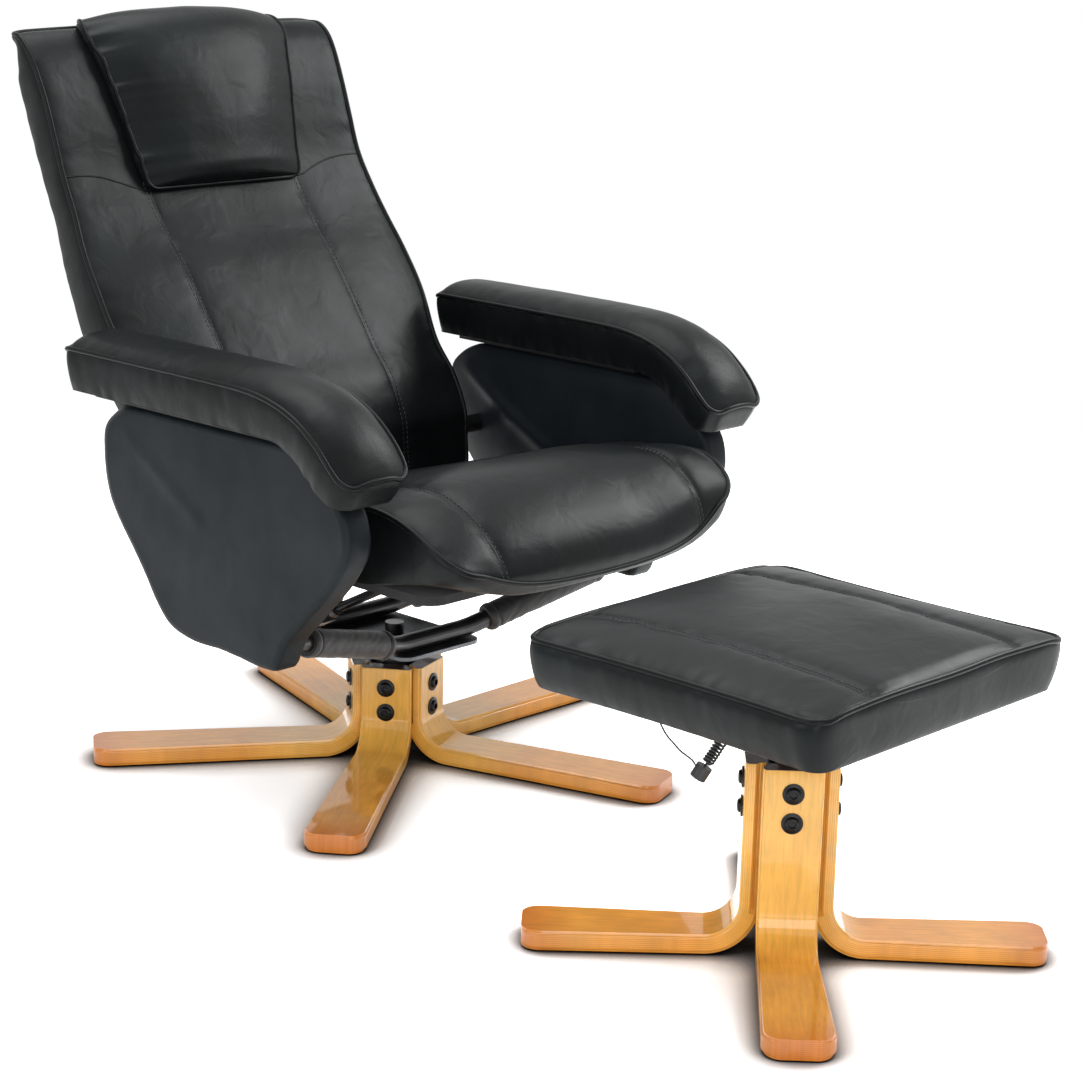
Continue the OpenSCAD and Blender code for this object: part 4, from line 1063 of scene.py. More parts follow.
class StoolCord:
    """The stool's curly cord and thin lead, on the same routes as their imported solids."""

    per_turn = 20
    sides = 10
    lead_points = 41

    def __init__(self, sizes: CurlSizes) -> None:
        """Keeps the sizes."""
        self.sizes = sizes

    def coil(self) -> np.ndarray:
        """Gives the curly cord's centreline.

        Returns:
            Points from the plug to the gland, in millimetres, measured from the stool's axis.
        """
        s = self.sizes
        toward = np.array(s.plug_to_cord)
        start = np.array(s.plug_at) + toward * s.plug_l / 2
        bend, top = np.array(s.bend), np.array(s.top)

        def axis(u: float) -> np.ndarray:
            return (1 - u) ** 2 * start + 2 * u * (1 - u) * bend + u * u * top

        line = [axis(0.0)]
        for step in range(s.turns * self.per_turn + 1):
            k = step / self.per_turn
            share = k / s.turns
            reach = s.tight * share + (1 - s.tight) * share * share
            u = s.lead_in + (1 - 2 * s.lead_in) * reach
            along = 2 * (1 - u) * (bend - start) + 2 * u * (top - bend)
            along /= np.linalg.norm(along)
            e = np.cross(along, [0.0, 1.0, 0.0])
            e /= np.linalg.norm(e)
            f = np.cross(along, e)
            radius = (s.coil_d - s.strand_d) / 2 * min(1, 2 * k) * min(1, 2 * (s.turns - k))
            turn = 2 * math.pi * k
            line.append(axis(u) + radius * (math.cos(turn) * e + math.sin(turn) * f))
        line.append(axis(1.0))
        return np.array(line)

    def make(self) -> None:
        s = self.sizes
        route = np.array(s.lead_route, float)[::-1]
        lead = spline(route, np.linspace(0, len(route) - 1, self.lead_points))
        for name, line, size, node, far_end, on_it in (
                ("curly_cord_piece", self.coil()[::-1], s.strand_d, "curly_cord", "plug",
                 ["cord_plug"]),
                ("thin_lead_piece", lead, s.lead_d, "cord_lead", "object", [])):
            line = line + STOOL_AT
            piece = tube(name, line, size / 2, self.sides)
            dress(piece, s.body, Finish.RUBBER, [node])


def eased(count: int) -> np.ndarray:
    """Gives places from 0 to 1 that crowd together at both ends."""
    return 0.5 - 0.5 * np.cos(np.linspace(0, math.pi, count))


@dataclass(frozen=True)
class PadSizes:
    """Sizes of one upholstered form, in millimetres."""

    name: str
    body: str
    nodes: tuple[str, ...]
    channel: float = 0.0
    channel_depth: float = 6.5
    bulge: float = 3.0
    power: float = 3.0
    edge_roll: float = 4.2
    inset: float = 2.2
    piping: float = 3.5
    far_lift: float = 0.0
    pucker: float = 1.5
    pucker_reach: float = 14.0
    pucker_size: float = 17.0
    slack: float = 1.6
    spacing: float = 4.6
    fill: float = 0.8
    seed: float = 1.0
    shift_x: float = 0.0
    flip: float = 1.0
    at: tuple[float, float, float] = (0.0, 0.0, 0.0)


def soft(obj: bpy.types.Object) -> None:
    """Rounds a cushion's mesh once with a subdivision."""
    modifier = obj.modifiers.new("soft", "SUBSURF")
    modifier.levels = modifier.render_levels = 1


class PaddedForm:
    """A cushion lofted along its rows: crowned top, rounded sides, sewn channels and piping.

    A row holds the top seam (Y, Z), the underside (Y, Z), half the width, the crown (Y, Z), how
    deep the channels are there, and how far the underside rises at its edges. In the pairs below,
    the first number is a share or a height and the second is its reach in millimetres. The far
    corner's lift starts at far_start and is whole far_long further, in X (a share of half the
    width), Y and Z.
    """

    inner_columns = 40
    outer_columns = 15
    side_columns = 12
    low_columns = 17
    stitch_off = 3.6
    stitch_lift = 0.3
    roll_in = 8.0
    groove = (0.62, 8.0)
    hollow = (0.38, 30.0)
    ridge = (0.16, 1.8)
    cut = (0.2, 2.4)
    seam_fold = 1.6
    channel_fold = 1.3
    calm_size = 90.0
    sewn = 0.3
    piping_in = 1.6
    end_rings = ((0.9, 2.2), (0.7, 3.6), (0.4, 4.0))
    end_swell = 4.0
    far_start = (0.25, -235.0, 340.0)
    far_long = (0.7, -110.0, 50.0)
    slack_reach = 25.0
    slack_size = (95.0, 80.0)
    side_size = 55.0
    side_slack = 0.8
    side_round = 1.5
    side_tuck = 1.0
    seam_grip = 3.0
    thread_grip = 4.0
    low_fold = 0.7
    sharp = 55.0

    def __init__(self, sizes: PadSizes, rows: np.ndarray, sewing: Sewing) -> None:
        """Keeps the sizes and spaces the rows evenly.

        Args:
            sizes: The form's sizes.
            rows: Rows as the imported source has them, in millimetres.
            sewing: What makes piping and stitches.
        """
        self.sizes = sizes
        self.sewing = sewing
        fine = spline(rows, np.linspace(0, len(rows) - 1, 1200))
        steps = [np.linalg.norm(np.diff(fine[:, k:k + 2], axis=0), axis=1) for k in (0, 2)]
        run = np.r_[0, np.cumsum((steps[0] + steps[1]) / 2)]
        wanted = np.linspace(0, run[-1], max(8, int(run[-1] / sizes.spacing)))
        self.rows = np.stack([np.interp(wanted, run, fine[:, k]) for k in range(fine.shape[1])], 1)
        self.rows[:, 4] -= sizes.inset
        self.run = run_along(self.rows[:, 0:2])
        self.rings = self.points()

    def _top_places(self, w: float) -> np.ndarray:
        """Gives the sideways places of the top's points, from the left seam to the right one."""
        s = self.sizes
        if not s.channel:
            return w - 2 * w * eased(self.inner_columns)
        outer = s.channel + (w - s.channel) * (1 - eased(self.outer_columns))
        inner = s.channel - 2 * s.channel * eased(self.inner_columns)
        return np.concatenate([outer[:-1], inner, -outer[::-1][1:]])

    def _top_height(self, x: np.ndarray, row: np.ndarray) -> np.ndarray:
        """Gives the top's height over its seam line without the crown's own direction.

        Args:
            x: Sideways places of the ring's top points.
            row: The ring's row.

        Returns:
            Heights: the roll into the piping and the sewn channels with their ridge.
        """
        s = self.sizes
        height = s.edge_roll * (1 - np.exp(-(row[4] - np.abs(x)) / self.roll_in))
        if s.channel:
            off = np.abs(np.abs(x) - s.channel)
            dip = (self.groove[0] * np.exp(-off / self.groove[1])
                   + self.hollow[0] * np.exp(-off / self.hollow[1]))
            dip += (self.ridge[0] * np.exp(-((off - self.stitch_off) / self.ridge[1]) ** 2)
                    - self.cut[0] * np.exp(-(off / self.cut[1]) ** 2))
            height = height - s.channel_depth * row[7] * dip
        return height

    def points(self) -> np.ndarray:
        """Gives every ring of the form.

        Returns:
            Points in millimetres, one row for each ring.
        """
        s = self.sizes
        folds = [wave(s.seed + k, self.run, s.pucker_size) for k in range(8)]
        calm = [0.5 + 0.5 * wave(s.seed + 40 + k, self.run, self.calm_size) for k in range(8)]
        folds = np.array([a * np.clip(0.35 + b, 0.2, 1.3) for a, b in zip(folds, calm)])
        made = np.array([self._ring(row, fold) for row, fold in zip(self.rows, folds.T)])
        if s.far_lift:
            made[..., 2] += s.far_lift * self._far_corner(made)
        return made

    def _ring(self, row: np.ndarray, fold: np.ndarray) -> np.ndarray:
        """Gives one ring: over the top, down one side, back underneath and up the other side.

        Args:
            row: The ring's row.
            fold: How high each of its eight folds is.

        Returns:
            The ring's points.
        """
        s = self.sizes
        top, low, crown, w = row[0:2], row[2:4], row[5:7], row[4]
        tall = np.linalg.norm(top - low)
        up = (top - low) / tall
        x = self._top_places(w)
        edge = w - np.abs(x)
        share = 1 - np.abs(x / w) ** s.power
        near = np.exp(-edge / s.pucker_reach) * (1 - np.exp(-edge / self.seam_grip))
        height = self._top_height(x, row) + self.seam_fold * s.pucker * near * np.where(
            x > 0, fold[0], fold[1])
        if s.channel:
            off = np.abs(x) - s.channel
            beside = np.where(x > 0, np.where(off > 0, fold[2], fold[3]),
                              np.where(off > 0, fold[4], fold[5]))
            off = np.abs(off)
            reach = np.exp(-off / s.pucker_reach) * (1 - np.exp(-off / self.thread_grip))
            height = height + self.channel_fold * s.pucker * row[7] * reach * beside
        height = height + self._slack(x, top, w)
        over = np.c_[x, top + np.outer(share, crown) + np.outer(height, up)]
        q = eased(self.side_columns + 2)[1:-1]
        out = (w + (s.bulge + self.side_round) * np.sin(math.pi * np.sqrt(q))
               - (s.bulge + self.side_tuck) * q ** 5)
        fade = np.exp(-q * tall / s.pucker_reach) * (1 - np.exp(-q * tall / self.thread_grip))
        fade_low = self.low_fold * np.exp(-(1 - q) * tall / s.pucker_reach)
        down = top + np.outer(q * (1 - row[8]), low - top)
        sides = [np.c_[sign * (out + self.seam_fold * s.pucker * (fade * fold[a] + fade_low * fold[b])
                               + self._side_slack(q, top, sign)), down]
                 for sign, a, b in ((-1.0, 1, 6), (1.0, 0, 7))]
        across = np.linspace(-1, 1, self.low_columns)
        under = np.c_[across * (w - s.bulge),
                      low + np.outer(row[8] * np.abs(across) ** 4, top - low)]
        return np.vstack([over, sides[0], under, sides[1][::-1]])

    def _far_corner(self, made: np.ndarray) -> np.ndarray:
        """Gives how much of the far lift each point takes: most at the far front corner.

        Args:
            made: Every ring's points, in millimetres.

        Returns:
            Shares from 0 to 1, one for each point.
        """
        places = (made[..., 0] / self.rows[:, 4].max(), made[..., 1], made[..., 2])
        shares = [np.clip((place - start) / long, 0, 1)
                  for place, start, long in zip(places, self.far_start, self.far_long)]
        return np.prod([t * t * (3 - 2 * t) for t in shares], axis=0)

    def _side_slack(self, q: np.ndarray, top: np.ndarray, sign: float) -> np.ndarray:
        """Gives the soft unevenness of the side panels."""
        s = self.sizes
        at = (float(top[0]) / self.side_size + s.seed, float(top[1]) / self.side_size)
        rough = [noise.noise(Vector((float(a) * 1.3 + 7.0 * sign, *at))) for a in q]
        return self.side_slack * s.slack * np.sin(math.pi * q) * np.array(rough)

    def _slack(self, x: np.ndarray, top: np.ndarray, w: float) -> np.ndarray:
        """Gives the soft unevenness of leather over foam."""
        s = self.sizes
        fade = 1 - np.exp(-(w - np.abs(x)) / self.slack_reach)
        wide, long = self.slack_size
        at = (float(top[0]) / long + s.seed * 5.0, float(top[1]) / long)
        return s.slack * fade * np.array([noise.noise(Vector((float(a) / wide, *at))) for a in x])

    def placed(self, points: np.ndarray) -> np.ndarray:
        """Puts points at the form's own place, mirrored where it is the other side's."""
        s = self.sizes
        return (np.asarray(points) + [s.shift_x, 0, 0]) * [s.flip, 1, 1] + np.array(s.at)

    def make(self) -> bpy.types.Object:
        """Builds the cushion with its seams.

        Returns:
            The cushion.
        """
        s = self.sizes
        obj = make_object(s.name, *self._closed(), self.sharp)
        soft(obj)
        dress(obj, s.body, Finish.LEATHER, s.nodes)
        self.sewing.piping(s.name + "_piping", self.placed(self._piping_line()), s.body, s.piping)
        if s.channel:
            self.sewing.stitches(s.name + "_stitches", [
                self.placed(line) for line in self._stitch_lines()], s.body)
        return obj

    def _closed(self) -> tuple[np.ndarray, list[tuple[int, ...]]]:
        """Closes both ends with rings that shrink onto a slightly swollen middle.

        Returns:
            The form's points in their place, and its faces.
        """
        rings = self.rings
        count, n = rings.shape[:2]
        flat, faces = rings.reshape(-1, 3), grid_faces(count, n)
        for ring, first, inward in ((rings[0], 0, rings[0] - rings[1]),
                                    (rings[-1], (count - 1) * n, rings[-1] - rings[-2])):
            middle = ring.mean(0)
            out = inward.mean(0)
            out = out / np.linalg.norm(out)
            before = first
            for share, bulge in self.end_rings:
                start = len(flat)
                flat = np.vstack([flat, middle + (ring - middle) * [0.5 + share / 2, share, share]
                                  + out * bulge])
                for j in range(n):
                    k = (j + 1) % n
                    faces.append((before + j, start + j, start + k, before + k) if first else
                                 (before + j, before + k, start + k, start + j))
                before = start
            faces += fan(before, n, len(flat), first > 0)
            flat = np.vstack([flat, middle + out * self.end_swell])
        return self.placed(flat), faces

    def top_count(self) -> int:
        """Gives how many points of a ring lie on the top."""
        return len(self._top_places(1000.0))

    def _piping_line(self) -> np.ndarray:
        """Gives the seam that the piping follows, round the whole top."""
        rings, n = self.rings, self.top_count()
        left, right = rings[:, 0, :].copy(), rings[:, n - 1, :].copy()
        left[:, 0] += self.piping_in
        right[:, 0] -= self.piping_in
        first, last = rings[0, 1:n - 1, :], rings[-1, 1:n - 1, :]
        return soften(even(np.vstack([left, last, right[::-1], first[::-1]]), PIPING_STEP), 3)

    def _stitch_lines(self) -> list[np.ndarray]:
        """Gives the rows of topstitches, one on each side of each channel."""
        n = self.top_count()
        lines = []
        for at in [side * self.sizes.channel + off for side in (-1, 1)
                   for off in (-self.stitch_off, self.stitch_off)]:
            line = []
            for ring, row in zip(self.rings, self.rows):
                if row[7] >= self.sewn:
                    top = ring[:n][::-1]
                    up = row[0:2] - row[2:4]
                    up = up / np.linalg.norm(up) * self.stitch_lift
                    line.append([at, *(np.interp(at, top[:, 0], top[:, k]) + up[k - 1] for k in (1, 2))])
            lines.append(np.array(line))
        return lines

    def cross_seam(self, name: str, places: Sequence[tuple[float, float]]) -> bpy.types.Object:
        """Sews a thin seam across the top of the finished form.

        Args:
            name: The seam's name.
            places: Pairs of X and Z that the seam passes, in millimetres.

        Returns:
            The seam.
        """
        n = self.top_count()
        wanted = spline(np.array(places, float), np.linspace(0, len(places) - 1, 60))
        line = []
        for x, z in wanted:
            column = np.array([[np.interp(x, ring[:n][::-1, 0], ring[:n][::-1, k]) for k in (1, 2)]
                               for ring in self.rings])
            line.append([x, np.interp(z, column[:, 1], column[:, 0]) + 0.5, z])
        return self.sewing.piping(name, self.placed(np.array(line)), self.sizes.body, 1.5, False)


ARM_ROWS = [
    [0.002, -0.06, 0.013, 0.03, 0.92, 0.25], [0.011, -0.015, 0.02, 0, 0.975, 0.6],
    [0.045, 0, 0.05, 0, 1, 0.85], [0.28, 0, 0.28, 0, 0.985, 1], [0.5, 0, 0.5, 0, 0.985, 1],
    [0.67, -0.02, 0.67, 0, 1, 1], [0.771, -0.15, 0.754, -0.03, 1, 1],
    [0.848, -0.39, 0.82, -0.25, 1, 1], [0.905, -0.71, 0.864, -0.55, 1, 0.94],
    [0.94, -0.98, 0.897, -0.76, 0.995, 0.82], [0.965, -1.2, 0.927, -0.92, 0.95, 0.6],
    [0.977, -1.3, 0.945, -0.963, 0.86, 0.4], [0.9825, -1.34, 0.952, -0.98, 0.75, 0.3],
    [0.985, -1.36, 0.956, -0.99, 0.62, 0.2]]
SEAT_ROWS = [
    [0, 0.15, 0.008, 0, 0.965, 0.05, 0.2, 0, 0], [0.016, 0.19, 0.024, 0, 0.985, 0.08, 0.34, 0.5, 0],
    [0.104, 0.285, 0.104, 0, 0.995, 0.12, 0.48, 0.7, 0],
    [0.344, 0.594, 0.344, 0, 0.985, 0.14, 0.55, 1, 0],
    [0.524, 0.835, 0.524, 0, 0.99, 0.1, 0.6, 1, 0], [0.654, 0.985, 0.654, 0, 1, 0, 0.72, 1, 0.03],
    [0.748, 0.981, 0.734, 0, 1, -0.2, 0.9, 1, 0.1], [0.83, 0.887, 0.8, 0, 1, -0.48, 0.8, 1, 0.2],
    [0.9, 0.736, 0.856, 0, 0.995, -0.88, 0.32, 1, 0.32],
    [0.948, 0.604, 0.904, -0.01, 0.98, -1.04, -0.32, 1, 0.46],
    [0.982, 0.5, 0.94, -0.03, 0.945, -0.8, -1.12, 0.6, 0.58],
    [1, 0.415, 0.968, -0.05, 0.88, -0.24, -1.5, 0, 0.68]]
BACK_ROWS = [
    [-0.006, -0.17, 0.425, 4, 0.915, 0.2, 0], [-0.003, -0.158, 0.56, 5, 0.93, 0.35, 0.6],
    [0.009, -0.115, 0.62, 9, 0.935, 0.4, 1], [0.018, -0.068, 0.66, 12, 0.94, 0.45, 1],
    [0.032, -0.011, 0.75, 20, 0.945, 0.5, 1], [0.112, 0.077, 1, 36.5, 0.955, 0.7, 1],
    [0.224, 0.164, 0.98, 37, 0.955, 0.7, 1], [0.36, 0.29, 0.92, 34, 1.003, 0.6, 1],
    [0.472, 0.396, 0.82, 31, 1, 0.45, 1], [0.565, 0.479, 0.73, 28, 0.985, 0.2, 1],
    [0.644, 0.564, 0.67, 24, 0.962, -0.1, 1], [0.726, 0.657, 0.66, 21, 0.951, -0.25, 0],
    [0.785, 0.762, 0.7, 20, 0.951, -0.25, 0], [0.835, 0.849, 0.7, 24, 0.953, -0.2, 0],
    [0.891, 0.926, 0.64, 33, 0.96, -0.1, 0], [0.942, 0.974, 0.48, 50, 0.965, 0, 0],
    [0.996, 1, 0.26, 68, 0.96, 0.1, 0], [1.047, 1, 0.13, 80, 0.95, 0.1, 0]]
PILLOW_ROWS = [
    [10.45, 0.15, 0.1, 0.96], [10.52, 0.33, 0.45, 0.99], [10.72, 0.43, 0.75, 1], [11, 0.5, 0.9, 1],
    [12, 0.5, 1, 1], [13, 0.5, 1, 1], [14, 0.5, 0.95, 1], [15, 0.5, 0.85, 1],
    [16, 0.42, 0.65, 0.97], [16.6, 0.3, 0.4, 0.93], [16.95, 0.15, 0.15, 0.88]]
STOOL_HALF = [
    [1, 0.925, 0.1], [0.985, 0.962, 0.25], [0.95, 0.985, 0.42], [0.88, 1.0, 0.62],
    [0.6, 0.985, 0.86], [0.2, 0.975, 1]]


def arm_rows() -> np.ndarray:
    """Gives an arm pad's rows, from the rear to the nose."""
    rear, low_z, thick, drop, long, crown, wide = 215.0, 531.4, 56.0, 70.0, 545.0, 17.0, 116.0
    rows = []
    for s in ARM_ROWS:
        top = np.array([rear - s[0] * long, low_z + thick + s[1] * drop])
        low = np.array([rear - s[2] * long, low_z + s[3] * drop])
        up = (top - low) / np.linalg.norm(top - low) * crown * s[5]
        rows.append([*top, *low, wide / 2 * s[4], *up, 0.0, 0.0])
    return np.array(rows)


def seat_rows() -> np.ndarray:
    """Gives the seat's rows, from the rear to the front."""
    rear, low_z, long, thick, wide, crown = 112.0, 330.0, 500.0, 106.0, 540.0, 25.0
    return np.array([[rear - s[0] * long, low_z + s[1] * thick, rear - s[2] * long,
                      low_z + s[3] * thick, wide / 2 * s[4], s[5] * crown, s[6] * crown, s[7], s[8]]
                     for s in SEAT_ROWS])


def back_rows() -> np.ndarray:
    """Gives the back's rows, from its lower end to the top."""
    at_y, at_z, reach, rise, thick, wide, crown = 128.0, 436.0, 340.0, 530.0, 80.0, 574.0, 24.0
    rows = []
    for s in BACK_ROWS:
        top = np.array([at_y + s[0] * reach, at_z + s[1] * rise])
        lean = math.radians(s[3])
        rearward = np.array([math.cos(lean), -math.sin(lean)])
        low = top + rearward * s[2] * thick
        up = -rearward * s[5] * crown
        rows.append([*top, *low, wide / 2 * s[4], *up, s[6], 0.0])
    return np.array(rows)


def stool_rows() -> np.ndarray:
    """Gives the stool pad's rows, from its rear edge to its front edge."""
    low_z, thick, wide, long, crown, bulge = 317.4, 58.0, 456.0, 417.0, 24.0, 4.0
    rows = []
    for sign, shares in ((1, STOOL_HALF), (-1, STOOL_HALF[::-1])):
        for s in shares:
            rows.append([sign * s[0] * long / 2, low_z + thick, sign * s[0] * (long / 2 - bulge),
                         low_z, wide / 2 * s[1], 0.0, crown * s[2], 1.0 if s[0] < 0.96 else 0.0,
                         0.0])
    return np.array(rows)


class Pillow:
    """The headrest pillow: a flat cushion sewn round its edge, ruched on one side.

    A row of PILLOW_ROWS holds its place on the back's rows, the edge's and the crown's share of
    the thickness, and the share of the width. The folds are pairs of seed and size, and their
    shares are those of the front and of the side.
    """

    gap = 0.8
    bulge = 30.0
    power = 2.6
    low_half = 137.0
    top_half = 178.0
    back_power = 3.0
    top_row = 15.0
    rows = 64
    half_columns = 25
    rear_columns = 13
    left_fold = (21.0, 8.5)
    right_fold = (23.0, 15.0)
    left_share = (3.4, 1.4)
    right_share = (0.7, 0.5)
    fold_reach = 30.0
    slack = (1.6, 60.0)
    edge_out = 2.4
    piping = 2.8
    fill = 0.7
    sharp = 60.0
    edge_at = np.array([0.75, 0.5, 0.25])

    def __init__(self, sewing: Sewing) -> None:
        """Keeps what makes the piping and the back's rows."""
        self.sewing = sewing
        self.back = back_rows()

    def _ring(self, s: np.ndarray, left: float, right: float) -> np.ndarray:
        """Gives one ring of the pillow: its front, one side, its rear and the other side.

        Args:
            s: The ring's row.
            left: How high the fold on the ruched side is.
            right: How high the one on the other side is.

        Returns:
            The ring's points.
        """
        row = spline(self.back, s[:1])[0]
        seam, low = row[0:2], row[2:4]
        up = (seam - low) / np.linalg.norm(seam - low)
        first = PILLOW_ROWS[0][0]
        grow = min(1.0, (s[0] - first) / (self.top_row - first))
        half = s[3] * (self.low_half + (self.top_half - self.low_half) * grow)

        def over_back(x: np.ndarray, lift: np.ndarray) -> np.ndarray:
            share = 1 - (np.abs(x) / row[4]) ** self.back_power
            return seam + np.outer(share, row[5:7]) + np.outer(self.gap + lift, up)

        to_side = eased(self.half_columns)
        across = np.sin(np.concatenate([1 - to_side, -to_side[1:]]) * math.pi / 2)
        x = across * half
        lift = self.bulge * (s[1] + s[2] * (1 - np.abs(across) ** self.power))
        lift = lift + np.exp(-(half - np.abs(x)) / self.fold_reach) * np.where(
            x < 0, self.left_share[0] * left, self.right_share[0] * right)
        high, size = self.slack
        lift = lift + high * np.array([noise.noise(Vector((a / size, s[0] * 0.7, 4.2))) for a in x])
        e = self.edge_at
        round_out = np.sin(math.pi * e)
        sides = [np.c_[sign * (half + self.edge_out * round_out + fold * round_out),
                       over_back(np.full(len(e), half), self.bulge * s[1] * e)]
                 for sign, fold in ((-1.0, left * self.left_share[1]),
                                    (1.0, right * self.right_share[1]))]
        rear = np.linspace(-1, 1, self.rear_columns) * half
        return np.vstack([np.c_[x, over_back(x, lift)], sides[0],
                          np.c_[rear, over_back(rear, np.zeros(len(rear)))], sides[1][::-1]])

    def make(self) -> bpy.types.Object:
        """Builds the pillow with its piping.

        Returns:
            The pillow.
        """
        fine = spline(np.array(PILLOW_ROWS), np.linspace(0, len(PILLOW_ROWS) - 1, 500))
        run = run_along(spline(self.back, fine[:, 0])[:, 0:2])
        wanted = np.linspace(0, run[-1], self.rows)
        shares = np.stack([np.interp(wanted, run, fine[:, k]) for k in range(4)], 1)
        folds = [wave(seed, wanted, size) for seed, size in (self.left_fold, self.right_fold)]
        rings = np.array([self._ring(*given) for given in zip(shares, *folds)])
        count, n = rings.shape[:2]
        flat = np.vstack([rings.reshape(-1, 3), rings[0].mean(0), rings[-1].mean(0)])
        faces = grid_faces(count, n)
        faces += fan(0, n, count * n) + fan((count - 1) * n, n, count * n + 1, True)
        obj = make_object("headrest_pillow_piece", flat, faces, self.sharp)
        soft(obj)
        dress(obj, "back", Finish.LEATHER, ["headrest_pillow"])
        last = 2 * self.half_columns - 2
        left, right = rings[:, last, :], rings[:, 0, :]
        loop = np.vstack([right, rings[-1, 1:last, :], left[::-1], rings[0, 1:last, :][::-1]])
        self.sewing.piping("headrest_pillow_piece_piping", soften(even(loop, PIPING_STEP), 4),
                           "back", self.piping)
        return obj


class Upholstery:
    """Every cushion of the chair and the stool."""

    shoulder_seam = {
        "right": ((128.0, 757.0), (150.0, 758.5), (178.0, 768.0), (210.0, 778.0), (242.0, 782.0),
                  (268.5, 782.0)),
        "left": ((128.0, 756.0), (150.0, 759.0), (175.0, 768.0), (205.0, 776.0), (238.0, 780.0),
                 (268.5, 780.0))}

    def __init__(self, sewing: Sewing) -> None:
        """Keeps what makes piping and stitches."""
        self.sewing = sewing

    def make(self) -> None:
        """Builds the cushions."""
        for side, flip in SIDES.items():
            PaddedForm(PadSizes(
                f"arm_pad_{side}_piece", "carriage", (f"arm_pad_{side}",), bulge=2.0, power=2.6,
                edge_roll=3.2, inset=1.5, pucker=1.0, pucker_size=15.0, slack=1.2, spacing=4.4, fill=0.8,
                seed=3.0 + flip, shift_x=336.0, flip=flip), arm_rows(), self.sewing).make()
        PaddedForm(PadSizes(
            "seat_cushion_piece", "seat", ("seat_cushion",), channel=186.0, bulge=3.0, seed=8.0,
            fill=0.85, far_lift=28.0), seat_rows(), self.sewing).make()
        back = PaddedForm(PadSizes(
            "back_cushion_piece", "back", ("back_cushion",), channel=136.0, channel_depth=3.0,
            bulge=2.5, inset=4.5, edge_roll=3.0, pucker=0.8, seed=13.0, fill=0.8),
            back_rows(), self.sewing)
        back.make()
        for side, flip in SIDES.items():
            back.cross_seam(f"back_cross_seam_{side}", [
                (flip * x, z) for x, z in self.shoulder_seam[side]])
        Pillow(self.sewing).make()
        PaddedForm(PadSizes(
            "stool_cushion_piece", "stool_pad", ("stool_cushion",), channel=131.0, bulge=6.0,
            seed=17.0, fill=0.85, at=tuple(STOOL_AT)), stool_rows(), self.sewing).make()


@dataclass(frozen=True)
class LegSizes:
    """Sizes of one group of bentwood legs, in millimetres."""

    prefix: str
    body: str
    face: float
    reach: float
    height: float
    count: int
    turn: float
    at: tuple[float, float, float]


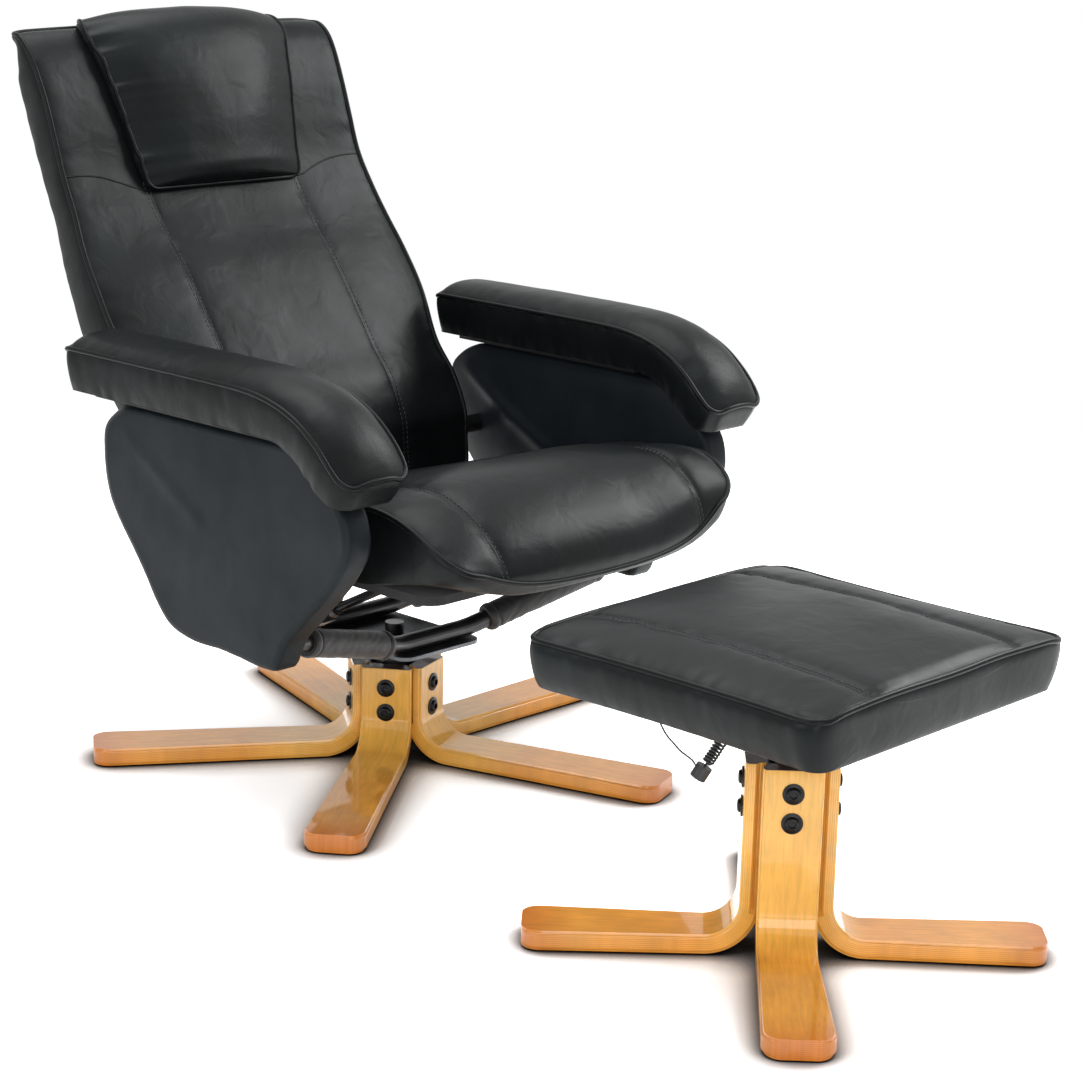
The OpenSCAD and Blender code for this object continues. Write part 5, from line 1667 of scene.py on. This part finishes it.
class BentLegs:
    """Bentwood legs: an upright, a bend and a foot of one even thickness."""

    width = 70.0
    tip_width = 81.0
    thick = 24.0
    bend_r = 40.0
    low = 2.0
    tip_r = 22.0
    edge_r = 2.6
    least_half = 6.0
    mitre_gap = 0.15
    top_bevel = 0.8
    top_bevel_long = 1.2
    tip_bevel = 1.2
    upright_rows = 29
    bend_rows = 22
    foot_rows = 34
    tip_rows = 12
    seed_step = 0.37
    sharp = 28.0

    def __init__(self, sizes: LegSizes) -> None:
        """Keeps the sizes."""
        self.sizes = sizes

    def _path(self) -> tuple[np.ndarray, np.ndarray, np.ndarray]:
        """Gives the outer face's line from the leg's top to its tip, with its outward direction.

        Returns:
            Points (radius, height), outward directions and the run along the leg.
        """
        s = self.sizes
        quarter = math.pi / 2
        bend_z = self.low + self.thick + self.bend_r
        centre = (s.face + self.bend_r, bend_z)
        upright = [(s.face, z) for z in np.linspace(s.height, bend_z, self.upright_rows + 1)[:-1]]
        bend = [(centre[0] - self.bend_r * math.cos(a), centre[1] - self.bend_r * math.sin(a))
                for a in np.linspace(0, quarter, self.bend_rows)]
        end = s.reach - self.tip_r
        foot = [(r, self.low + self.thick) for r in (
            *np.linspace(centre[0], end, self.foot_rows)[1:],
            *(end + self.tip_r * np.sin(np.linspace(0, quarter, self.tip_rows)))[1:])]
        line = np.array(upright + bend + foot)
        turn = np.concatenate([np.zeros(len(upright)), np.linspace(0, quarter, len(bend)),
                               np.full(len(foot), quarter)])
        return line, np.c_[np.cos(turn), np.sin(turn)], run_along(line)

    def _half_width(self, radius: float) -> float:
        """Gives half the leg's width at a distance from the hub's axis."""
        s = self.sizes
        start = s.face + self.bend_r
        end = s.reach - self.tip_r
        wide = self.width / 2 + (self.tip_width - self.width) / 2 * min(
            1.0, max(0.0, (radius - start) / (end - start)))
        over = max(0.0, radius - end)
        return wide - self.tip_r + math.sqrt(max(0.0, self.tip_r ** 2 - over ** 2))

    def make(self) -> None:
        """Builds every leg of the group."""
        for k in range(self.sizes.count):
            self._leg(k)

    def _leg(self, index: int) -> bpy.types.Object:
        """Builds one leg.

        Args:
            index: Its number round the hub, from 0.

        Returns:
            The leg.
        """
        s = self.sizes
        line, out, run = self._path()
        section = self._section()
        rings, grain = [], []
        for (r, z), o, length in zip(line, out, run):
            half = max(self.least_half, self._half_width(r))
            limit = (max(0.0, r - o[0] * self.thick) - self.mitre_gap) * math.tan(math.pi / s.count)
            shrink = max(0.0, self.top_bevel * (1 - length / self.top_bevel_long))
            if length > run[-1] - 1e-6:
                shrink = self.tip_bevel
            for a, b in section:
                depth = self.edge_r + b * (self.thick - 2 * self.edge_r) if 0 < b < 1 else b * self.thick
                depth = min(self.thick - shrink, max(shrink, depth))
                mitred = depth > self.thick / 2 and r < s.face + 1
                across = a * ((min(half, limit) if mitred else half) - shrink)
                rings.append([r - o[0] * depth, across, z - o[1] * depth])
                grain.append([length, across, depth])
        count, wide = len(line), len(section)
        angle = math.radians(s.turn + 360.0 / s.count * index)
        spin = np.array([[math.cos(angle), math.sin(angle), 0], [-math.sin(angle), math.cos(angle), 0],
                         [0, 0, 1]])
        faces = grid_faces(count, wide)
        faces += [tuple(range(wide)), tuple((count - 1) * wide + j for j in reversed(range(wide)))]
        obj = make_object(f"{s.prefix}_{index + 1}_piece", np.array(rings) @ spin + np.array(s.at),
                          faces, self.sharp)
        grain = np.array(grain) * MM
        self._write(obj.data, grain[:, :2], {
            "ply": grain[:, 2], "share": np.repeat(run / run[-1], wide),
            "seed": np.full(len(rings), self.seed_step * (index + 1) + s.turn)})
        return dress(obj, s.body, Finish.PLY, [f"{s.prefix}_{index + 1}"])

    @staticmethod
    def _write(mesh: bpy.types.Mesh, grain: np.ndarray, values: dict[str, np.ndarray]) -> None:
        """Writes what the finish reads.

        Args:
            mesh: The leg's mesh.
            grain: Each point's place along and across the grain, in metres.
            values: Further values of each point by name.
        """
        layer = mesh.uv_layers.new(name="grain")
        corner = np.zeros(len(mesh.loops), int)
        mesh.loops.foreach_get("vertex_index", corner)
        layer.data.foreach_set("uv", grain[corner].ravel())
        for name, value in values.items():
            mesh.attributes.new(name, "FLOAT", "POINT").data.foreach_set("value", value)

    def _section(self) -> list[tuple[float, float]]:
        """Gives the leg's cross section as (share across, share of depth), with rounded edges."""
        round_a, round_b = self.edge_r / (self.width / 2), self.edge_r / self.thick
        flat = 1 - round_a
        steps = np.linspace(0, math.pi / 2, 5)
        points = [(float(a), 0.0) for a in np.linspace(flat, -flat, 9)]
        points += [(-flat - round_a * math.sin(t), round_b * (1 - math.cos(t))) for t in steps[1:]]
        points += [(-1.0, b) for b in (0.25, 0.5, 0.75)]
        points += [(-flat - round_a * math.cos(t), 1 - round_b * (1 - math.sin(t)))
                   for t in steps[:-1]]
        return points + [(-a, 1 - b) for a, b in points]


@dataclass(frozen=True)
class ScrewSizes:
    """Sizes of a leg screw's head, in millimetres."""

    flange_d: float = 25.0
    flange_h: float = 1.6
    head_d: float = 17.0
    head_h: float = 5.5
    socket_d: float = 8.0
    socket_deep: float = 3.4
    under: float = 1.0
    rim_in: float = 1.3
    drops: tuple[float, float] = (28.0, 63.0)


class LegScrews:
    """Black domed hex-socket screws with a round flange, two on each leg."""

    rim = 48
    sharp = 32.0
    lift = 0.05

    def __init__(self, sizes: ScrewSizes, maker: NodeMaker) -> None:
        """Keeps the sizes and the node trees."""
        self.sizes = sizes
        self.maker = maker

    def _fastener(self) -> bpy.types.Object:
        """Builds one screw head that faces +Z, with its seat on the plane Z = 0.

        Returns:
            The screw head, in metres.
        """
        s = self.sizes
        flange, head, socket = s.flange_d / 2, s.head_d / 2, s.socket_d / 2
        profile = [(flange - 0.5, -s.under), (flange, -s.under), (flange, s.flange_h - 0.5),
                   (flange - 0.15, s.flange_h - 0.15), (flange - 0.6, s.flange_h),
                   (head + 0.5, s.flange_h), (head, s.flange_h + 0.3)]
        for angle in np.linspace(0.12, 1.0, 9) * math.pi / 2:
            profile.append((socket + s.rim_in + (head - socket - s.rim_in) * math.cos(angle),
                            s.flange_h + (s.head_h - s.flange_h) * math.sin(angle)))
        turn = circle(self.rim)
        points = [(r * math.cos(a), r * math.sin(a), z) for r, z in profile for a in turn]
        faces = grid_faces(len(profile), self.rim)
        top = len(points) - self.rim
        for z, grow in ((s.head_h, 0.35), (s.head_h - 0.4, 0.0), (s.head_h - s.socket_deep, 0.0)):
            for a in turn:
                sector = (a + math.pi / 6) % (math.pi / 3) - math.pi / 6
                r = (socket + grow) / math.cos(sector)
                points.append((r * math.cos(a), r * math.sin(a), z))
        faces += [tuple(top + i for i in face) for face in grid_faces(4, self.rim)]
        count = len(points)
        faces += fan(count - self.rim, self.rim, count) + fan(0, self.rim, count + 1, True)
        points += [(0.0, 0.0, s.head_h - s.socket_deep - 0.5), (0.0, 0.0, -s.under)]
        return make_object("leg_screw_master", np.array(points), faces, self.sharp)

    def make(self, groups: Sequence[tuple[LegSizes, str]]) -> None:
        """Builds each group's screws as one piece.

        Args:
            groups: Leg sizes, and the name of the CAD node of their screws.
        """
        master = self._fastener()
        master.data.materials.append(finish_of(Finish.SCREW_STEEL))
        for legs, node in groups:
            places, facings = [], []
            for k in range(legs.count):
                angle = math.radians(legs.turn + 360.0 / legs.count * k)
                facing = (math.cos(angle), math.sin(angle), 0.0)
                out = legs.face + self.lift
                for drop in self.sizes.drops:
                    places.append([legs.at[0] + out * facing[0], legs.at[1] + out * facing[1],
                                   legs.height - drop])
                    facings.append(facing)
            mesh = bpy.data.meshes.new(node + "_points")
            mesh.from_pydata((np.array(places) * MM).tolist(), [], [])
            mesh.attributes.new("facing", "FLOAT_VECTOR", "POINT").data.foreach_set(
                "vector", np.array(facings).ravel())
            base = bpy.data.objects.new(node + "_points", mesh)
            bpy.context.scene.collection.objects.link(base)
            piece = self.maker.run(node + "_piece", base, self.maker.copies, {
                "Fastener": master, "Finish": finish_of(Finish.SCREW_STEEL)})
            dress(piece, "base", Finish.SCREW_STEEL, [node])
            shade(piece, self.sharp)
        bpy.data.objects.remove(master)


class SideCovers:
    """Leather side panels with rounded edges, a soft crown and a brace that shows through."""

    middle = 336.0
    thick = 44.0
    edge_r = 9.0
    rear_slant = 37.0
    inner_swell = 9.0
    crown = 1.6
    ridge = (4.5, 12.0)
    ripple = 0.35
    cap_up = 12.0
    sharp = 50.0
    spacing = 9.0
    front = -291.0
    low = 222.0
    long = 473.0
    high = 297.0
    outline = [[0.302, 0], [0.49, 0.017], [0.613, 0.017], [0.7, 0.044], [0.761, 0.114],
               [0.858, 0.316], [0.953, 0.498], [0.989, 0.62], [1, 0.771], [0.987, 0.889],
               [0.911, 0.976], [0.827, 1], [0.6, 1], [0.4, 1], [0.216, 1], [0.161, 0.965],
               [0.101, 0.892], [0.049, 0.825], [0.008, 0.734], [0, 0.596], [0.049, 0.458],
               [0.144, 0.293], [0.233, 0.148], [0.266, 0.054]]
    brace = ((149.0, 491.0), (-17.0, 387.0))

    def make(self) -> None:
        """Builds both covers."""
        for side, flip in SIDES.items():
            self._cover(side, flip)

    def _outline(self) -> np.ndarray:
        """Gives the panel's smooth outline as points of Y and Z."""
        places = np.array([[self.front + p[0] * self.long, self.low + p[1] * self.high]
                           for p in self.outline])
        looped = np.vstack([places[-2:], places, places[:3]])
        smooth = spline(looped, np.linspace(2, 2 + len(places), 40 * len(places) + 1)[:-1])
        smooth[:, 1] = np.clip(smooth[:, 1], self.low, self.low + self.high)
        return even(smooth, self.spacing)

    def _cover(self, side: str, flip: float) -> bpy.types.Object:
        """Builds one cover.

        Args:
            side: The sitter's own side.
            flip: 1 on the left, -1 on the right.

        Returns:
            The cover.
        """
        loop = self._outline()
        ahead = np.roll(loop, -1, 0) - np.roll(loop, 1, 0)
        ahead /= np.linalg.norm(ahead, axis=1)[:, None]
        inward = np.c_[-ahead[:, 1], ahead[:, 0]]
        if (inward * (loop.mean(0) - loop)).sum() < 0:
            inward = -inward
        ripple = self.ripple * wave(31.0 + flip, run_along(loop), 22.0)[:, None]
        half = self.thick / 2
        corner = np.linspace(0, math.pi / 2, 6)
        profile = [(self.edge_r * (1 - math.cos(t)),
                    face * (half - self.edge_r + self.edge_r * math.sin(t)))
                   for face, steps in ((1.0, corner[::-1]), (-1.0, corner)) for t in steps]
        points = []
        for inset, depth in profile:
            place = loop + inward * (inset + ripple * (abs(depth) <= half - 1))
            points.append(np.c_[np.full(len(loop), self.middle + depth), self._widened(place, depth)])
        flat, faces = self._capped(np.vstack(points), grid_faces(len(profile), len(loop)),
                                   loop + inward * self.edge_r, loop.mean(0) + [0.0, self.cap_up])
        obj = make_object(f"side_cover_{side}_piece", flat * [flip, 1, 1], faces, self.sharp)
        return dress(obj, "carriage", Finish.PANEL_LEATHER, [f"side_cover_{side}"])

    def _capped(self, flat: np.ndarray, faces: list, edge: np.ndarray, middle: np.ndarray) -> tuple:
        """Closes both broad faces with rings that shrink towards the panel's middle.

        Args:
            flat: The points of the panel's rounded edge.
            faces: Their faces.
            edge: The broad faces' outline.
            middle: Where its rings shrink to.

        Returns:
            All points and faces.
        """
        half, n = self.thick / 2, len(edge)
        for first, face in ((0, 1.0), (len(flat) - n, -1.0)):
            before = first
            for share in (0.975, *np.linspace(0.94, 0.06, 23)):
                place = middle + (edge - middle) * share
                depth = face * (half + self._crown(place, share, face))
                start = len(flat)
                flat = np.vstack([flat, np.c_[self.middle + depth, self._widened(place, face * half)]])
                for j in range(n):
                    k = (j + 1) % n
                    faces.append((before + k, before + j, start + j, start + k) if face > 0 else
                                 (before + j, before + k, start + k, start + j))
                before = start
            faces += fan(before, n, len(flat), face > 0)
            depth = face * (half + self._crown(middle[None, :], 0.0, face))
            flat = np.vstack([flat, np.c_[self.middle + depth, middle[None, :]]])
        return flat, faces

    def _widened(self, place: np.ndarray, depth: np.ndarray | float) -> np.ndarray:
        """Draws the rear edge of the inner face further back, as the cover's slant does."""
        rear = np.clip((place[:, 0] - self.front) / self.long - 0.35, 0, 0.35) / 0.35
        inner = np.clip(0.5 - np.asarray(depth) / self.thick, 0, 1)
        return place + np.c_[self.rear_slant * rear * inner, np.zeros(len(place))]

    def _crown(self, place: np.ndarray, share: float, face: float) -> np.ndarray:
        """Gives how far the broad face swells: a soft crown, slack and the brace inside."""
        swell = self.crown * (1 - share ** 3)
        a, b = (np.array(p) for p in self.brace)
        along = (b - a) / np.linalg.norm(b - a)
        off = place - a
        off = off - np.clip(off @ along, 0, np.linalg.norm(b - a))[:, None] * along[None, :]
        high, wide = self.ridge
        ridge = high * np.exp(-(np.linalg.norm(off, axis=1) / wide) ** 2) * (1 - share ** 8)
        rough = np.array([noise.noise(Vector((p[0] / 85.0, p[1] / 85.0, 3.0 * face))) for p in place])
        folds = np.array([noise.noise(Vector((p[0] / 26.0 + p[1] / 150.0, p[1] / 190.0, 9.0 + face)))
                          for p in place])
        full = self.inner_swell * (1 - share ** 6) if face < 0 else 0.0
        return (swell + full + (ridge if face < 0 else 0.2 * ridge)
                + (0.9 * rough + 0.45 * folds) * (1 - share ** 5))


class Sleeves:
    """Crinkled cloth sleeves on the cross tubes, with a hem at each end."""

    inner = 65.0
    outer = 290.0
    tube_z = 180.55
    end_z = 243.0
    lines = ((-76.0, -130.0), (76.0, 10.0))
    shares = (0.14, 0.94)
    radius = 20.5
    bore = 12.9
    sides = 56
    rows = 110
    hem_end = (11.0, 15.0)
    hem_dip = 1.6
    hem_round = (1.2, 6.0, 5.0)
    slip = 2.0
    crease = 0.6
    crease_size = 16.0
    wall = 1.4
    sharp = 60.0

    def make(self) -> bpy.types.Object:
        """Builds all four sleeves as one piece.

        Returns:
            The sleeves.
        """
        points, faces = [], []
        for number, (mid_y, end_y) in enumerate(self.lines):
            for flip in (1.0, -1.0):
                a = np.array([self.inner, mid_y, self.tube_z])
                b = np.array([self.outer, end_y, self.end_z])
                start = len(points)
                ring, face = self._sleeve(a + (b - a) * self.shares[0], a + (b - a) * self.shares[1],
                                          40.0 + 3 * number + flip)
                points += (ring * [flip, 1, 1]).tolist()
                faces += [tuple(start + i for i in (f if flip > 0 else f[::-1])) for f in face]
        obj = make_object("tube_sleeves_piece", np.array(points), faces, self.sharp)
        return dress(obj, "carriage", Finish.SLEEVE, ["tube_sleeves"])

    def _sleeve(self, a: np.ndarray, b: np.ndarray, seed: float) -> tuple[np.ndarray, list]:
        """Builds one sleeve's points and faces.

        Args:
            a: Its inner end.
            b: Its outer end.
            seed: Which folds it has.

        Returns:
            Points and faces.
        """
        long = np.linalg.norm(b - a)
        along = (b - a) / long
        e = np.cross(along, [0.0, 1.0, 0.0])
        e /= np.linalg.norm(e)
        f = np.cross(along, e)
        turn = circle(self.sides)
        outward = np.cos(turn)[:, None] * e + np.sin(turn)[:, None] * f
        rows = []
        for s in np.linspace(0, long, self.rows):
            hem = min(s, long - s)
            high, at, wide = self.hem_round
            size = self.radius - self.slip + high * math.exp(-((hem - at) / wide) ** 2)
            size -= self.hem_dip if self.hem_end[0] < hem < self.hem_end[1] else 0.0
            fold = np.array([noise.noise(Vector((math.cos(t) * 1.25 + seed, math.sin(t) * 1.25,
                                                 s / self.crease_size + 0.9 * math.sin(2 * t + seed))))
                             for t in turn])
            crease = self.crease * (1 - np.abs(fold) * 2.2) * min(1.0, hem / self.crease_size)
            radius = size + crease - 0.9 * math.exp(-hem / 2.0)
            radius = np.clip(radius, self.bore + self.wall, self.radius + 1.0)
            rows.append(a + along * s + radius[:, None] * outward)
        rows += [a + along * s + self.bore * outward for s in (long, 0.0)]
        return np.vstack(rows), grid_faces(len(rows), self.sides, True)


@dataclass(frozen=True)
class Painted:
    """The finish of CAD nodes that keep their own shape."""

    finish: Finish
    slot: str
    nodes: tuple[str, ...]


PAINTED = (
    Painted(Finish.BLACK_STEEL, "black_steel", (
        "base_hub", "swivel_post", "post_nut", "stool_hub", "stool_post", "front_cross_tube",
        "rear_cross_tube", "side_frame_left", "side_frame_right", "guide_bracket_left",
        "guide_bracket_right", "back_frame", "rod_straps", "seat_motor", "stool_motor")),
    Painted(Finish.DARK_ROD, "bright_steel", ("guide_rod_left", "guide_rod_right")),
    Painted(Finish.PLATE_STEEL, "bright_steel", (
        "swivel_plate", "stool_plate", "post_flange_screws", "arm_studs")),
    Painted(Finish.ZINC, "bright_steel", (
        "stool_post_nut", "pivot_pin_left", "pivot_pin_right", "plate_screws")),
    Painted(Finish.PLASTIC, "black_plastic", ("base_glides", "stool_glides")),
    Painted(Finish.NYLON, "white_plastic", ("thrust_washer", "stool_washer")),
    Painted(Finish.DUST_COVER, "inner_plywood", (
        "arm_board_left", "arm_board_right", "seat_pan", "stool_board")),
    Painted(Finish.RUBBER, "cord_rubber", ("cord_glands", "cord_plug")),
)


def paint_nodes() -> None:
    """Gives every CAD node that is shown its finish."""
    for group in PAINTED:
        for name in group.nodes:
            node = bpy.data.objects[name]
            node.data.materials.clear()
            node.data.materials.append(finish_of(group.finish))


CHAIR_LEGS = LegSizes("leg", "base", 61.0, 416.0, 135.0, 5, 0.0, (0.0, 0.0, 0.0))
STOOL_LEGS = LegSizes("stool_leg", "base", 54.0, 304.0, 236.0, 4, 42.0, tuple(STOOL_AT))


def main() -> None:
    """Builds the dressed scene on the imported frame."""
    logging.basicConfig(level=logging.INFO, format="%(message)s")
    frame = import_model()
    low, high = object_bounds()
    LOG.info("%s loaded, from %s to %s", type(frame).__name__, list(low), list(high))
    Camera().make()
    StoolCord(CurlSizes()).make()
    Studio().make()
    maker = NodeMaker()
    BentLegs(CHAIR_LEGS).make()
    BentLegs(STOOL_LEGS).make()
    LegScrews(ScrewSizes(), maker).make([(CHAIR_LEGS, "base_screws"), (STOOL_LEGS, "stool_screws")])
    Upholstery(Sewing(maker)).make()
    SideCovers().make()
    Sleeves().make()
    paint_nodes()


if __name__ == "__main__":
    main()
